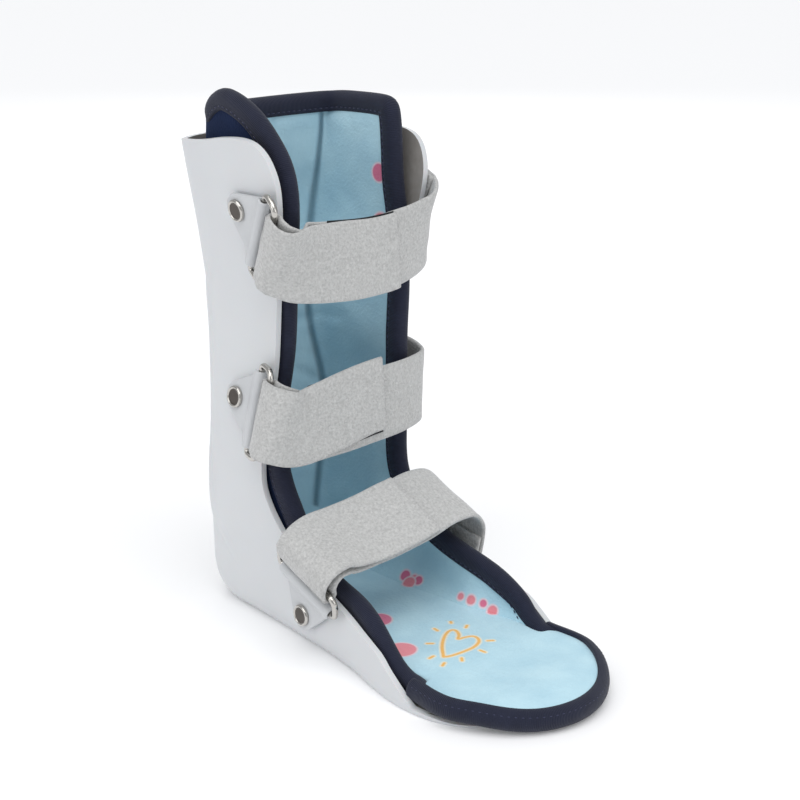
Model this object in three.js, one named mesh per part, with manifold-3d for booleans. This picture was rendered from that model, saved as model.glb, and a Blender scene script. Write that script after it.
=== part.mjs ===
// A medical walking boot: a moulded shell with a padded liner, three webbing straps and their rings.
// Millimetres: x to the wearer's right, y to the toes, z up. The origin lies under the middle of the leg.
import * as THREE from 'three';
import { mergeVertices } from 'three/addons/utils/BufferGeometryUtils.js';
import Module from 'manifold-3d';

const wasm = await Module();
wasm.setup();

// Driving sizes of the shell
const LEG_HEIGHT = 241; // floor to the rim behind the calf
const LEG_DEPTH = 86; // back of the heel to the front of the ears
const LEG_WIDTH = 104; // across the shell at the rim
const NOTCH_HEIGHT = 72; // floor to the notch between leg and foot
const FOOT_REACH = 152; // front of the ears to the tip of the toe pad
const PLATE_SHORT = 19; // how far the sole plate ends behind the tip of the toe pad
const SOLE_WIDTH = 100; // across the sole at the ball of the foot
const SHELL_WALL = 3;
const HEEL_ROLL = 26; // height of the rounded bottom edge at the heel
const BALL_ROLL = 12; // the same at the ball of the foot
const HEEL_CORNER = 34; // depth of the rounded corners behind the leg
const RIB_WIDTH = 8;
const RIB_RISE = 1.1;

// Driving sizes of the soft parts
const LINER_STAND = 17.5; // how far the liner stands above the shell behind the calf
const LINER_HEIGHT = LEG_HEIGHT + LINER_STAND;
const LINER_PAD = 8;
const LINER_GAP = 1.8; // play between shell and liner, room for the rivets' back washers
const LINER_LEAN_SIDE = 6; // how far the top of the liner stands in from the rim at the sides
const LINER_LEAN_BACK = 12; // the same behind
const BEAD_RADIUS = 4.6; // half the thickness of a bound edge
const FOOTBED_HEIGHT = 9;
const TOE_WIDTH = 109; // across the bound toe pad
const TOE_LENGTH = 68; // widest place of the toe pad to its tip
const STRAP_WIDTH = 38;
const STRAP_THICK = 2.2;
const LAYER_GAP = 0.5; // between two layers of a folded strap
const LABEL_THICK = 0.8;
const LABEL_HEIGHT = 19; // the flat label behind
const LOOP_WIDTH = 21; // the folded label beside it
const LOOP_DROP = 17;

// Driving sizes of the fastenings
const WIRE_RADIUS = 1.5;
const RING_DEPTH = 11; // straight bar to bow of a ring, wire centre to wire centre
const RING_TILT = 13; // degrees that a ring stands out from the shell
const TAB_LENGTH = 16.5; // rivet to the bar of the ring
const TAB_THICK = 2.4;
const TAB_END_RADIUS = 8;
const RIVET_RADIUS = 5.5;
const SHANK_RADIUS = 2;
const CLEAR = 0.4; // running gap between touching pieces
const SEAT_GAP = 1.2; // room under a tab or strap end, because the shell curves away from it

const HEEL_Y = -LEG_DEPTH / 2;
const SOLE_LENGTH = LEG_DEPTH + FOOT_REACH - PLATE_SHORT;
const legY = (share) => HEEL_Y + share * LEG_DEPTH;
const footY = (share) => LEG_DEPTH / 2 + share * FOOT_REACH;
const soleY = (share) => HEEL_Y + share * SOLE_LENGTH;
const legZ = (share) => share * LEG_HEIGHT;
const footZ = (share) => share * NOTCH_HEIGHT;
const radians = THREE.MathUtils.degToRad;
const lerp = THREE.MathUtils.lerp;
const clamp = THREE.MathUtils.clamp;
const vec = (x, y, z) => new THREE.Vector3(x, y, z);

// Levels of the leg: up as a share of LEG_HEIGHT, half of LEG_WIDTH / 2, back of LEG_DEPTH from the heel line
const LEG_LEVELS = [
  { up: 0.00, half: 0.820, back: 0.000 },
  { up: 0.12, half: 0.830, back: 0.002 },
  { up: 0.24, half: 0.858, back: 0.019 },
  { up: 0.40, half: 0.870, back: 0.055 },
  { up: 0.60, half: 0.770, back: 0.010 },
  { up: 0.80, half: 0.845, back: -0.024 },
  { up: 1.00, half: 1.000, back: -0.041 },
  { up: 1.20, half: 1.100, back: -0.050 },
];

// Half widths along the foot: at as a share of the sole's length, sole and wall as shares of SOLE_WIDTH / 2
const FOOT_STATIONS = [
  { at: 0.00, sole: 0.56, wall: 0.88 },
  { at: 0.16, sole: 0.62, wall: 0.88 },
  { at: 0.34, sole: 0.68, wall: 0.89 },
  { at: 0.48, sole: 0.72, wall: 0.91 },
  { at: 0.59, sole: 0.81, wall: 0.94 },
  { at: 0.66, sole: 0.91, wall: 0.98 },
  { at: 0.73, sole: 0.98, wall: 1.02 },
  { at: 0.78, sole: 1.00, wall: 1.03 },
];
const BALL = FOOT_STATIONS[FOOT_STATIONS.length - 1].at;
const HEEL_SET_IN = 0.09; // share of LEG_DEPTH by which the rounded heel stands in at the floor

// Smooth curve through one column of a table, over another column
function read(table, key, column, at) {
  const last = table.length - 1;
  if (at <= table[0][key]) return table[0][column];
  if (at >= table[last][key]) return table[last][column];
  const i = table.findIndex((row) => row[key] > at) - 1;
  const [a, b] = [table[i], table[i + 1]];
  const span = b[key] - a[key];
  const slope = (row, next) => (next[column] - row[column]) / (next[key] - row[key]);
  const slopeA = i > 0 ? slope(table[i - 1], b) : slope(a, b);
  const slopeB = i + 2 <= last ? slope(a, table[i + 2]) : slope(a, b);
  const t = (at - a[key]) / span;
  const rise = (t * t * t - 2 * t * t + t) * slopeA + (t * t * t - t * t) * slopeB;
  return lerp(a[column], b[column], t * t * (3 - 2 * t)) + rise * span;
}

const legHalf = (z) => read(LEG_LEVELS, 'up', 'half', z / LEG_HEIGHT) * LEG_WIDTH / 2;
const rolled = (z, height) => Math.sqrt(1 - (1 - clamp(z / height, 0, 1)) ** 2);

// Outside of the shell behind, at height z
function backY(z, floor = 0) {
  const heel = legY(read(LEG_LEVELS, 'up', 'back', z / LEG_HEIGHT));
  return heel + (1 - rolled(z - floor, HEEL_ROLL)) * HEEL_SET_IN * LEG_DEPTH;
}

// Half width of the shell at a place on its side; floor is the height at which the bottom starts to round
function sideX(y, z, floor = 0) {
  const at = (y - HEEL_Y) / SOLE_LENGTH;
  const sole = read(FOOT_STATIONS, 'at', 'sole', at) * SOLE_WIDTH / 2;
  const footWall = read(FOOT_STATIONS, 'at', 'wall', at) * SOLE_WIDTH / 2;
  const toFoot = THREE.MathUtils.smoothstep(y, legY(0.75), legY(1.1));
  const lowEnough = 1 - THREE.MathUtils.smoothstep(z, footZ(0.8), footZ(1.3));
  const wall = lerp(legHalf(z), footWall, toFoot * lowEnough);
  const roll = lerp(HEEL_ROLL, BALL_ROLL, clamp(at / BALL, 0, 1));
  return lerp(sole, wall, rolled(z - floor, roll));
}

const CORNER_STEPS = 5;
const NOSE_STEPS = 5;
const CORNER_POWER = 3;
const NOSE_POWER = 2.4;
const SIDE_SHARES = [0.6, 0.82];
const FOOT_SHARES = [0.44, 0.53, 0.62, 0.7];

// Plan outline at height z, anticlockwise from the middle of the back, moved in by one amount at the
// sides and one behind
function outline(z, inSide = 0, inBack = inSide, floor = 0) {
  const back = backY(z, floor);
  const cornerEnd = back + HEEL_CORNER;
  const half = [];
  for (let i = 1; i <= CORNER_STEPS; i += 1) {
    const turn = i / CORNER_STEPS * Math.PI / 2;
    const x = sideX(cornerEnd, z, floor) * Math.sin(turn) ** (2 / CORNER_POWER);
    half.push([x, back + HEEL_CORNER * (1 - Math.cos(turn) ** (2 / CORNER_POWER))]);
  }
  for (const share of SIDE_SHARES) half.push([sideX(legY(share), z, floor), legY(share)]);
  for (const share of FOOT_SHARES) half.push([sideX(soleY(share), z, floor), soleY(share)]);
  for (let i = 0; i < NOSE_STEPS; i += 1) {
    const turn = i / NOSE_STEPS * Math.PI / 2;
    const x = sideX(soleY(BALL), z, floor) * Math.cos(turn) ** (2 / NOSE_POWER);
    half.push([x, soleY(lerp(BALL, 1, Math.sin(turn) ** (2 / NOSE_POWER)))]);
  }
  const right = half.map(([x, y]) => new THREE.Vector2(x, y));
  const left = half.map(([x, y]) => new THREE.Vector2(-x, y)).reverse();
  const loop = [new THREE.Vector2(0, back), ...right, new THREE.Vector2(0, soleY(1)), ...left];
  return movedIn(loop, (normal) => lerp(inSide, inBack, clamp(-normal.y, 0, 1) ** 2));
}

// A closed loop with each point moved in along its own normal
function movedIn(loop, amount) {
  return loop.map((point, i) => {
    const before = loop[(i + loop.length - 1) % loop.length];
    const after = loop[(i + 1) % loop.length];
    const along = after.clone().sub(before).normalize();
    const normal = new THREE.Vector2(along.y, -along.x);
    return point.clone().addScaledVector(normal, -amount(normal));
  });
}

// A closed solid through rings of points, capped at both ends or joined end to end
function loft(rings, joined = false) {
  const count = rings[0].length;
  const points = rings.flat();
  const triangles = [];
  const steps = joined ? rings.length : rings.length - 1;
  for (let i = 0; i < steps; i += 1) {
    for (let j = 0; j < count; j += 1) {
      const a = i * count + j;
      const b = i * count + (j + 1) % count;
      const c = ((i + 1) % rings.length) * count + (j + 1) % count;
      const d = ((i + 1) % rings.length) * count + j;
      triangles.push([a, b, c], [a, c, d]);
    }
  }
  if (!joined) {
    for (const [ring, start] of [[rings[0], 0], [rings[rings.length - 1], points.length - count]]) {
      const middle = ring.reduce((sum, p) => sum.add(p), vec(0, 0, 0)).divideScalar(count);
      const centre = points.push(middle) - 1;
      for (let j = 0; j < count; j += 1) {
        const pair = [start + j, start + (j + 1) % count];
        triangles.push(start === 0 ? [pair[1], pair[0], centre] : [pair[0], pair[1], centre]);
      }
    }
  }
  const volume = triangles.reduce((sum, [a, b, c]) => {
    return sum + points[a].dot(points[b].clone().cross(points[c]));
  }, 0);
  const facing = volume < 0 ? triangles.map(([a, b, c]) => [a, c, b]) : triangles;
  const geometry = new THREE.BufferGeometry().setFromPoints(points);
  geometry.setIndex(facing.flat());
  return geometry;
}

// Between a three.js geometry and a solid that can be joined and cut
function solidOf(geometry) {
  const bare = geometry.clone();
  for (const name of ['normal', 'uv']) bare.deleteAttribute(name);
  const merged = mergeVertices(bare, 1e-5);
  const vertProperties = new Float32Array(merged.attributes.position.array);
  const triVerts = new Uint32Array(merged.index.array);
  return new wasm.Manifold(new wasm.Mesh({ numProp: 3, vertProperties, triVerts }));
}

function geometryOf(solid) {
  const mesh = solid.getMesh();
  const geometry = new THREE.BufferGeometry();
  geometry.setAttribute('position', new THREE.BufferAttribute(mesh.vertProperties, 3));
  geometry.setIndex(new THREE.BufferAttribute(mesh.triVerts, 1));
  return geometry;
}

const boot = new THREE.Group();

function addPiece(name, geometry, [color, roughness, metalness]) {
  const flat = geometry.index ? geometry.toNonIndexed() : geometry;
  flat.computeVertexNormals();
  const material = new THREE.MeshStandardMaterial({ color, roughness, metalness });
  const mesh = new THREE.Mesh(flat, material);
  mesh.name = name;
  boot.add(mesh);
}

const GREY_PLASTIC = ['#cfd1d3', 0.45, 0];
const GREY_WEBBING = ['#cdcdcd', 0.95, 0];
const GREY_TAB = ['#d2d4d6', 0.5, 0];
const NAVY_VELOUR = ['#1c2f55', 0.95, 0];
const NAVY_TAPE = ['#262a40', 0.85, 0];
const BLUE_PLUSH = ['#bfe0ec', 0.95, 0];
const NICKEL = ['#b9b6b1', 0.25, 1];
const BLUE_SATIN = ['#3f76d6', 0.6, 0];
const WHITE_SATIN = ['#f1f1f3', 0.6, 0];

const FAR = LEG_HEIGHT * 2;

// Everything in front of and above an edge seen from the side, from x0 to x1
function beyondEdge(points, x0, x1) {
  const first = points[0];
  const last = points[points.length - 1];
  const shape = new THREE.Shape(points);
  shape.lineTo(FAR, last.y);
  shape.lineTo(FAR, FAR);
  shape.lineTo(first.x, FAR);
  const geometry = new THREE.ExtrudeGeometry(shape, { depth: x1 - x0, bevelEnabled: false, steps: 1 });
  geometry.translate(0, 0, x0);
  geometry.applyMatrix4(new THREE.Matrix4().makeBasis(vec(0, 1, 0), vec(0, 0, 1), vec(1, 0, 0)));
  return solidOf(geometry);
}

// Edge rows: leg rows are shares of LEG_DEPTH and LEG_HEIGHT, foot rows of FOOT_REACH and NOTCH_HEIGHT
function edgePoints(legRows, footRows, steps) {
  const leg = legRows.map(([at, up]) => new THREE.Vector2(legY(at), legZ(up)));
  const foot = footRows.map(([at, up]) => new THREE.Vector2(footY(at), footZ(up)));
  return new THREE.SplineCurve([...leg, ...foot]).getSpacedPoints(steps);
}

// Shell: front edge as seen from the side, from the rim behind to the sole plate; the left ear is the lower one
const SHELL_RIGHT_EAR = [
  [-0.40, 1.000], [0.05, 1.000], [0.33, 1.010], [0.55, 1.024], [0.74, 1.030], [0.87, 1.022], [0.96, 0.994],
  [1.00, 0.945], [0.965, 0.870],
];
const SHELL_LEFT_EAR = [
  [-0.40, 1.000], [0.05, 1.000], [0.33, 1.005], [0.55, 1.009], [0.72, 1.007], [0.83, 0.994], [0.90, 0.965],
  [0.936, 0.920], [0.925, 0.850],
];
const SHELL_LEG_EDGE = [[0.88, 0.745], [0.825, 0.640], [0.785, 0.500], [0.750, 0.400], [0.742, 0.330]];
const SHELL_FOOT_EDGE = [
  [-0.128, 0.98], [-0.086, 0.85], [-0.010, 0.70], [0.118, 0.55], [0.283, 0.42], [0.379, 0.345], [0.454, 0.29],
  [0.500, 0.22], [0.546, 0.15], [0.590, 0.08], [0.612, SHELL_WALL / NOTCH_HEIGHT],
];
const SHELL_LEVELS = [0, 0.008, 0.03, 0.065, 0.11, 0.18, 0.27, 0.37, 0.47, 0.58, 0.69, 0.80, 0.91, 1.06];

function levelRing(z, inSide, inBack, floor) {
  return outline(z, inSide, inBack, floor).map((point) => vec(point.x, point.y, z));
}

function bootForm(levels, inSide, inBack, floor) {
  return solidOf(loft(levels.map((z) => levelRing(z, inSide(z), inBack(z), floor))));
}

// Cut-outs behind, as seen from behind: across as a share of LEG_WIDTH, up as a share of LEG_HEIGHT
const PENGUIN = [
  [0.062, 0.933], [0.110, 0.923], [0.134, 0.897], [0.138, 0.857], [0.160, 0.815], [0.169, 0.788], [0.138, 0.793],
  [0.123, 0.770], [0.072, 0.750], [0.081, 0.734], [0.002, 0.736], [-0.147, 0.733], [-0.127, 0.752],
  [-0.165, 0.773], [-0.183, 0.792], [-0.206, 0.793], [-0.220, 0.785], [-0.208, 0.811], [-0.169, 0.836],
  [-0.116, 0.859], [-0.093, 0.883], [-0.076, 0.911], [-0.029, 0.928],
];
const DOLPHIN = [
  [0.013, 0.670], [-0.013, 0.659], [0.051, 0.641], [0.072, 0.612], [0.072, 0.576], [0.054, 0.561],
  [0.081, 0.538], [0.047, 0.550], [-0.002, 0.552], [0.029, 0.564], [0.045, 0.575], [0.006, 0.593],
  [-0.073, 0.602], [-0.194, 0.601], [-0.213, 0.609], [-0.188, 0.624], [-0.146, 0.647], [-0.058, 0.656],
  [-0.033, 0.666],
];
const PETALS = { across: -0.012, up: 0.415, reach: 15, width: 8, turns: [40, 130, 220, 310], hub: 1.3 };
const EGG = { across: 0.017, up: 0.229, width: 24.5, height: 28 };

function cutBehind(shape) {
  const depth = LEG_DEPTH * 0.45;
  const geometry = new THREE.ExtrudeGeometry(shape, { depth, bevelEnabled: false, steps: 1, curveSegments: 6 });
  geometry.applyMatrix4(new THREE.Matrix4().makeBasis(vec(1, 0, 0), vec(0, 0, 1), vec(0, -1, 0)));
  geometry.translate(0, HEEL_Y + depth * 0.6, 0);
  return solidOf(geometry);
}

function silhouette(rows) {
  return new THREE.Shape(rows.map(([across, up]) => new THREE.Vector2(across * LEG_WIDTH, up * LEG_HEIGHT)));
}

function petal(turn) {
  const at = new THREE.Vector2(PETALS.across * LEG_WIDTH, PETALS.up * LEG_HEIGHT);
  const place = (along, aside) => {
    return new THREE.Vector2(along, aside).rotateAround(new THREE.Vector2(), radians(turn)).add(at);
  };
  const inner = PETALS.reach * 0.3;
  const round = [];
  for (let i = 0; i <= 6; i += 1) {
    const angle = radians(-110 + i * 220 / 6);
    const radius = PETALS.width / 2;
    round.push(place(inner + radius + radius * Math.cos(angle + Math.PI), radius * Math.sin(angle)));
  }
  return new THREE.Shape([...round, place(PETALS.reach + 1, PETALS.width * 0.35)]);
}

function eggShape() {
  const shape = new THREE.Shape();
  const at = [EGG.across * LEG_WIDTH, EGG.up * LEG_HEIGHT];
  shape.absellipse(...at, EGG.width / 2, EGG.height / 2, 0, Math.PI * 2);
  return shape;
}

// Where a rivet sits: the shell's surface there, its normal, and the direction that a band takes from it
function seat(side, y, z, lean) {
  const step = 1;
  const slopeY = (sideX(y + step, z) - sideX(y - step, z)) / (2 * step);
  const slopeZ = (sideX(y, z + step) - sideX(y, z - step)) / (2 * step);
  const out = vec(side, -slopeY, -slopeZ).normalize();
  const up = vec(side * slopeZ, 0, 1).normalize();
  const ahead = vec(0, 1, 0).addScaledVector(out, -out.y).normalize();
  up.addScaledVector(ahead, -up.dot(ahead)).normalize();
  const turn = radians(lean);
  const along = ahead.clone().multiplyScalar(Math.cos(turn)).addScaledVector(up, Math.sin(turn));
  const across = up.clone().multiplyScalar(Math.cos(turn)).addScaledVector(ahead, -Math.sin(turn));
  const origin = vec(side * sideX(y, z), y, z);
  const at = (a, b, h) => origin.clone().addScaledVector(along, a).addScaledVector(across, b).addScaledVector(out, h);
  return { origin, out, along, across, at };
}

// Fastenings: tab and strap ends by level. Leans are degrees from straight ahead towards up.
const LEVEL_NAMES = ['top', 'middle', 'bottom'];
const TABS = [
  { y: legY(0.675), z: legZ(0.892), lean: -30 },
  { y: legY(0.530), z: legZ(0.492), lean: -8 },
  { y: footY(0.080), z: footZ(0.290), lean: 71 },
];
const STRAP_ENDS = [
  { y: legY(0.640), z: legZ(0.880), lean: -22.7, back: 11.5, front: 20, aside: 0, lap: 22 },
  { y: legY(0.437), z: legZ(0.492), lean: 0, back: 16.5, front: 28, aside: 0, lap: 24 },
  { y: footY(0.038), z: footZ(0.335), lean: 79, back: 11.5, front: 24, aside: -7, lap: 22 },
];
const tabSeats = TABS.map((tab) => seat(1, tab.y, tab.z, tab.lean));
const strapSeats = STRAP_ENDS.map((end) => seat(-1, end.y, end.z, end.lean));

// A short cylinder along a seat's normal, for holes
function borer(place, radius) {
  const geometry = new THREE.CylinderGeometry(radius, radius, SHELL_WALL * 10, 8);
  geometry.applyQuaternion(new THREE.Quaternion().setFromUnitVectors(vec(0, 1, 0), place.out));
  geometry.translate(place.origin.x, place.origin.y, place.origin.z);
  return solidOf(geometry);
}

// Room for a rivet's washer inside the shell
const WASHER_RADIUS = RIVET_RADIUS * 0.8;
const WASHER_THICK = 1;

function washerRoom(place) {
  const radius = WASHER_RADIUS + CLEAR;
  const geometry = new THREE.CylinderGeometry(radius, radius, WASHER_THICK * 4, 8);
  geometry.translate(0, -SHELL_WALL - WASHER_THICK * 2, 0);
  geometry.applyQuaternion(new THREE.Quaternion().setFromUnitVectors(vec(0, 1, 0), place.out));
  geometry.translate(place.origin.x, place.origin.y, place.origin.z);
  return solidOf(geometry);
}

// Rib on each side, from under the top strap round the corner behind and down to the heel. around is 0 at the
// middle of the back and 1 where the rounded corner ends, up is a share of LEG_HEIGHT.
const RIB_PATH = [
  { around: 0.98, up: 0.780 },
  { around: 0.86, up: 0.741 },
  { around: 0.71, up: 0.671 },
  { around: 0.60, up: 0.580 },
  { around: 0.51, up: 0.498 },
  { around: 0.48, up: 0.407 },
  { around: 0.56, up: 0.325 },
  { around: 0.76, up: 0.220 },
  { around: 0.94, up: 0.165 },
  { around: 1.10, up: 0.105 },
];
const CORNER_ROUND = (LEG_WIDTH / 2 + HEEL_CORNER) * 0.75; // way along the outline from the back to a corner's end

// Place on the outside of the leg, a way along the outline from the middle of the back
function onLeg(side, way, z) {
  const back = backY(z);
  const past = Math.max(way - CORNER_ROUND, 0);
  const turn = Math.min(way / CORNER_ROUND, 1) * Math.PI / 2;
  const y = back + HEEL_CORNER * (1 - Math.cos(turn) ** (2 / CORNER_POWER)) + past;
  return vec(side * sideX(Math.max(y, back + HEEL_CORNER), z) * Math.sin(turn) ** (2 / CORNER_POWER), y, z);
}

function rib(side) {
  const path = new THREE.CatmullRomCurve3(RIB_PATH.map((row) => vec(0, row.around * CORNER_ROUND, legZ(row.up))));
  const steps = 18;
  const rings = [];
  for (let i = 0; i <= steps; i += 1) {
    const share = i / steps;
    const middle = path.getPointAt(share);
    const along = path.getTangentAt(share);
    const fade = Math.sin(Math.PI * clamp(share, 0.03, 0.97)) ** 0.5;
    const width = RIB_WIDTH * lerp(0.4, 1, fade) / 2;
    const place = (offset, rise) => {
      const way = middle.y - along.z * offset;
      const z = middle.z + along.y * offset;
      const point = onLeg(side, way, z);
      const out = onLeg(side, way, z + 1).sub(point).cross(onLeg(side, way + 1, z).sub(point)).normalize();
      out.multiplyScalar(out.x * side > 0 ? 1 : -1);
      return point.addScaledVector(out, rise);
    };
    const top = RIB_RISE * fade;
    rings.push([place(-width, -1.2), place(-width, -0.1), place(-width / 2, top * 0.8), place(width / 2, top * 0.8),
      place(width, -0.1), place(width, -1.2)]);
  }
  return solidOf(loft(rings));
}

// How far each side's edge is cut past the middle, so that the two cuts meet
const EDGE_LAP = CLEAR;

function shell() {
  const same = () => 0;
  const wall = () => SHELL_WALL;
  let solid = bootForm(SHELL_LEVELS.map(legZ), same, same, 0);
  const inner = [SHELL_WALL, ...SHELL_LEVELS.map(legZ).filter((z) => z > SHELL_WALL + 2)];
  inner[inner.length - 1] += SHELL_WALL;
  solid = solid.add(rib(1)).add(rib(-1));
  solid = solid.subtract(bootForm(inner, wall, wall, SHELL_WALL));
  for (const [ear, x0, x1] of [[SHELL_RIGHT_EAR, -EDGE_LAP, LEG_WIDTH], [SHELL_LEFT_EAR, -LEG_WIDTH, EDGE_LAP]]) {
    solid = solid.subtract(beyondEdge(edgePoints([...ear, ...SHELL_LEG_EDGE], SHELL_FOOT_EDGE, 40), x0, x1));
  }
  const hub = new THREE.Shape();
  hub.absarc(PETALS.across * LEG_WIDTH, PETALS.up * LEG_HEIGHT, PETALS.hub, 0, Math.PI * 2);
  const shapes = [silhouette(PENGUIN), silhouette(DOLPHIN), eggShape(), hub, ...PETALS.turns.map(petal)];
  for (const shape of shapes) solid = solid.subtract(cutBehind(shape));
  for (const place of [...tabSeats, ...strapSeats]) {
    solid = solid.subtract(borer(place, SHANK_RADIUS + CLEAR)).subtract(washerRoom(place));
  }
  return geometryOf(solid);
}

// Liner: how far its outside stands in from the shell's outside, growing towards the top
const LINER_IN = SHELL_WALL + LINER_GAP;
const topLean = (z) => THREE.MathUtils.smoothstep(z, legZ(0.82), legZ(1.06));
const linerSide = (z) => LINER_IN + LINER_LEAN_SIDE * topLean(z);
const linerBack = (z) => LINER_IN + LINER_LEAN_BACK * topLean(z);
const LINER_LEVELS = [(SHELL_WALL + CLEAR) / LEG_HEIGHT, 0.05, 0.10, 0.17, 0.27, 0.37, 0.48, 0.59, 0.70, 0.80, 0.87, 0.94, 1.02, 1.14];

// Outermost front edges of the liner with its binding, the right flap cut round and the left one square
const rise = (share) => share * LINER_HEIGHT / LEG_HEIGHT;
const LINER_RIGHT_LEG = [
  [-0.10, rise(1.000)], [0.20, rise(1.000)], [0.30, rise(1.022)], [0.41, rise(1.036)], [0.54, rise(1.029)],
  [0.69, rise(1.006)], [0.83, rise(0.966)], [0.94, rise(0.921)], [0.985, rise(0.874)], [0.985, rise(0.820)],
  [0.945, rise(0.750)], [0.888, rise(0.668)], [0.848, rise(0.585)], [0.816, rise(0.508)], [0.802, rise(0.452)],
  [0.806, rise(0.402)], [0.828, rise(0.356)], [0.875, rise(0.306)],
];
const LINER_RIGHT_FOOT = [
  [-0.033, 0.95], [0.007, 0.81], [0.053, 0.71], [0.105, 0.635], [0.171, 0.575], [0.237, 0.545], [0.296, 0.51],
  [0.368, 0.435], [0.434, 0.33], [0.480, 0.25], [0.530, 0.20], [0.585, 0.185],
];
const LINER_LEFT_LEG = [
  [-0.10, rise(1.000)], [0.20, rise(1.000)], [0.45, rise(1.005)], [0.70, rise(1.006)], [0.785, rise(0.996)],
  [0.822, rise(0.963)], [0.838, rise(0.915)], [0.855, rise(0.848)], [0.915, rise(0.770)], [0.960, rise(0.686)],
  [0.975, rise(0.617)], [0.960, rise(0.520)], [0.925, rise(0.444)], [0.900, rise(0.378)], [0.895, rise(0.316)],
];
const LINER_LEFT_FOOT = [
  [-0.043, 0.97], [0.000, 0.84], [0.053, 0.73], [0.125, 0.64], [0.230, 0.57], [0.319, 0.52], [0.401, 0.45],
  [0.477, 0.345], [0.530, 0.24], [0.585, 0.19],
];

// The edge seen from the side moved in by a distance
function insetEdge(points, distance) {
  return points.map((point, i) => {
    const before = points[Math.max(i - 1, 0)];
    const after = points[Math.min(i + 1, points.length - 1)];
    const along = after.clone().sub(before).normalize();
    return point.clone().add(new THREE.Vector2(along.y, -along.x).multiplyScalar(distance));
  });
}
const rightEdge = edgePoints(LINER_RIGHT_LEG, LINER_RIGHT_FOOT, 52);
const leftEdge = edgePoints(LINER_LEFT_LEG, LINER_LEFT_FOOT, 52);

function liner() {
  const outer = bootForm(LINER_LEVELS.map(legZ), linerSide, linerBack, LINER_IN);
  const padIn = (lean) => (z) => lean(z) + LINER_PAD;
  const inner = LINER_LEVELS.map(legZ);
  inner[0] = 0;
  inner[inner.length - 1] += LINER_PAD;
  const floor = LINER_IN + LINER_PAD;
  let solid = outer.subtract(bootForm(inner, padIn(linerSide), padIn(linerBack), floor));
  const bound = BEAD_RADIUS * 2 + CLEAR * 3;
  for (const [edge, x0, x1] of [[rightEdge, 0, LEG_WIDTH], [leftEdge, -LEG_WIDTH, 0]]) {
    const cut = insetEdge(edge, bound);
    const top = cut[0].clone();
    top.x = -FAR;
    solid = solid.subtract(beyondEdge([top, ...cut], x0, x1));
  }
  const front = new THREE.BoxGeometry(LEG_WIDTH * 2, FAR, FAR);
  front.translate(0, footY(0.57) + FAR / 2, 0);
  return geometryOf(solid.subtract(solidOf(front)));
}

// Middle of the liner's wall on its side
function linerMiddle(side, y, z) {
  return side * (sideX(y, z, LINER_IN + LINER_PAD / 2) - linerSide(z) - LINER_PAD / 2);
}

const BEAD_SIDES = 8;

function bead(points, steps, radius) {
  const circle = new THREE.Shape();
  for (let i = 0; i < BEAD_SIDES; i += 1) {
    const turn = (i + 0.5) / BEAD_SIDES * Math.PI * 2;
    const corner = [radius * Math.cos(turn), radius * Math.sin(turn)];
    if (i === 0) circle.moveTo(...corner);
    else circle.lineTo(...corner);
  }
  const extrudePath = new THREE.CatmullRomCurve3(points, false, 'centripetal');
  return new THREE.ExtrudeGeometry(circle, { extrudePath, steps, bevelEnabled: false });
}

function legBinding() {
  const onSide = (side, edge) => insetEdge(edge, BEAD_RADIUS).filter((point, i) => i % 2 === 0)
    .filter((point) => point.x > legY(0.24)).map((point) => vec(linerMiddle(side, point.x, point.y), point.x, point.y));
  const right = onSide(1, rightEdge);
  const left = onSide(-1, leftEdge);
  const z = LINER_HEIGHT - BEAD_RADIUS;
  const ring = outline(z, linerSide(z) + LINER_PAD / 2, linerBack(z) + LINER_PAD / 2, LINER_IN);
  const behind = ring.filter((point) => point.y < legY(0.2));
  const back = behind.sort((a, b) => b.x - a.x).map((point) => vec(point.x, point.y, z));
  return bead([...right.reverse(), ...back, ...left], 76, BEAD_RADIUS);
}

const TOE_THROAT = 36.5; // half width of the footbed where the two bindings meet

// Toe pad: outline in front, and how far its edge lies in from the bound edge
const TOE_Y = footY(1) - TOE_LENGTH;
const BED_FLOOR = SHELL_WALL + CLEAR;
const TOE_START = 8; // degrees past the widest place of the toe pad at which its bound edge starts

function toeArc(inset, steps) {
  const arc = [];
  for (let i = 0; i <= steps; i += 1) {
    const turn = radians(lerp(TOE_START, 180 - TOE_START, i / steps));
    const x = (TOE_WIDTH / 2 - inset) * Math.cos(turn);
    arc.push(new THREE.Vector2(x, TOE_Y + (TOE_LENGTH - inset) * Math.sin(turn)));
  }
  return arc;
}

function footbed() {
  const wallIn = LINER_IN + LINER_PAD + CLEAR * 2;
  const rear = outline(BED_FLOOR, wallIn, wallIn, BED_FLOOR).filter((point) => point.y < footY(0.53));
  const throat = [new THREE.Vector2(TOE_THROAT, footY(0.585)), new THREE.Vector2(-TOE_THROAT, footY(0.585))];
  const right = rear.filter((point) => point.x > 1e-6);
  const left = rear.filter((point) => point.x < -1e-6);
  const toe = toeArc(BEAD_RADIUS * 2 + CLEAR, 20);
  const plan = [rear[0], ...right, throat[0], ...toe, throat[1], ...left];
  const levels = [
    { up: 0, inset: 0.11 }, { up: 0.2, inset: 0 }, { up: 0.7, inset: 0 }, { up: 0.92, inset: 0.17 }, { up: 1, inset: 0.55 },
  ];
  const rings = levels.map(({ up, inset }) => {
    const z = BED_FLOOR + up * FOOTBED_HEIGHT;
    return movedIn(plan, () => inset * FOOTBED_HEIGHT).map((point) => vec(point.x, point.y, z));
  });
  return loft(rings);
}

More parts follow.
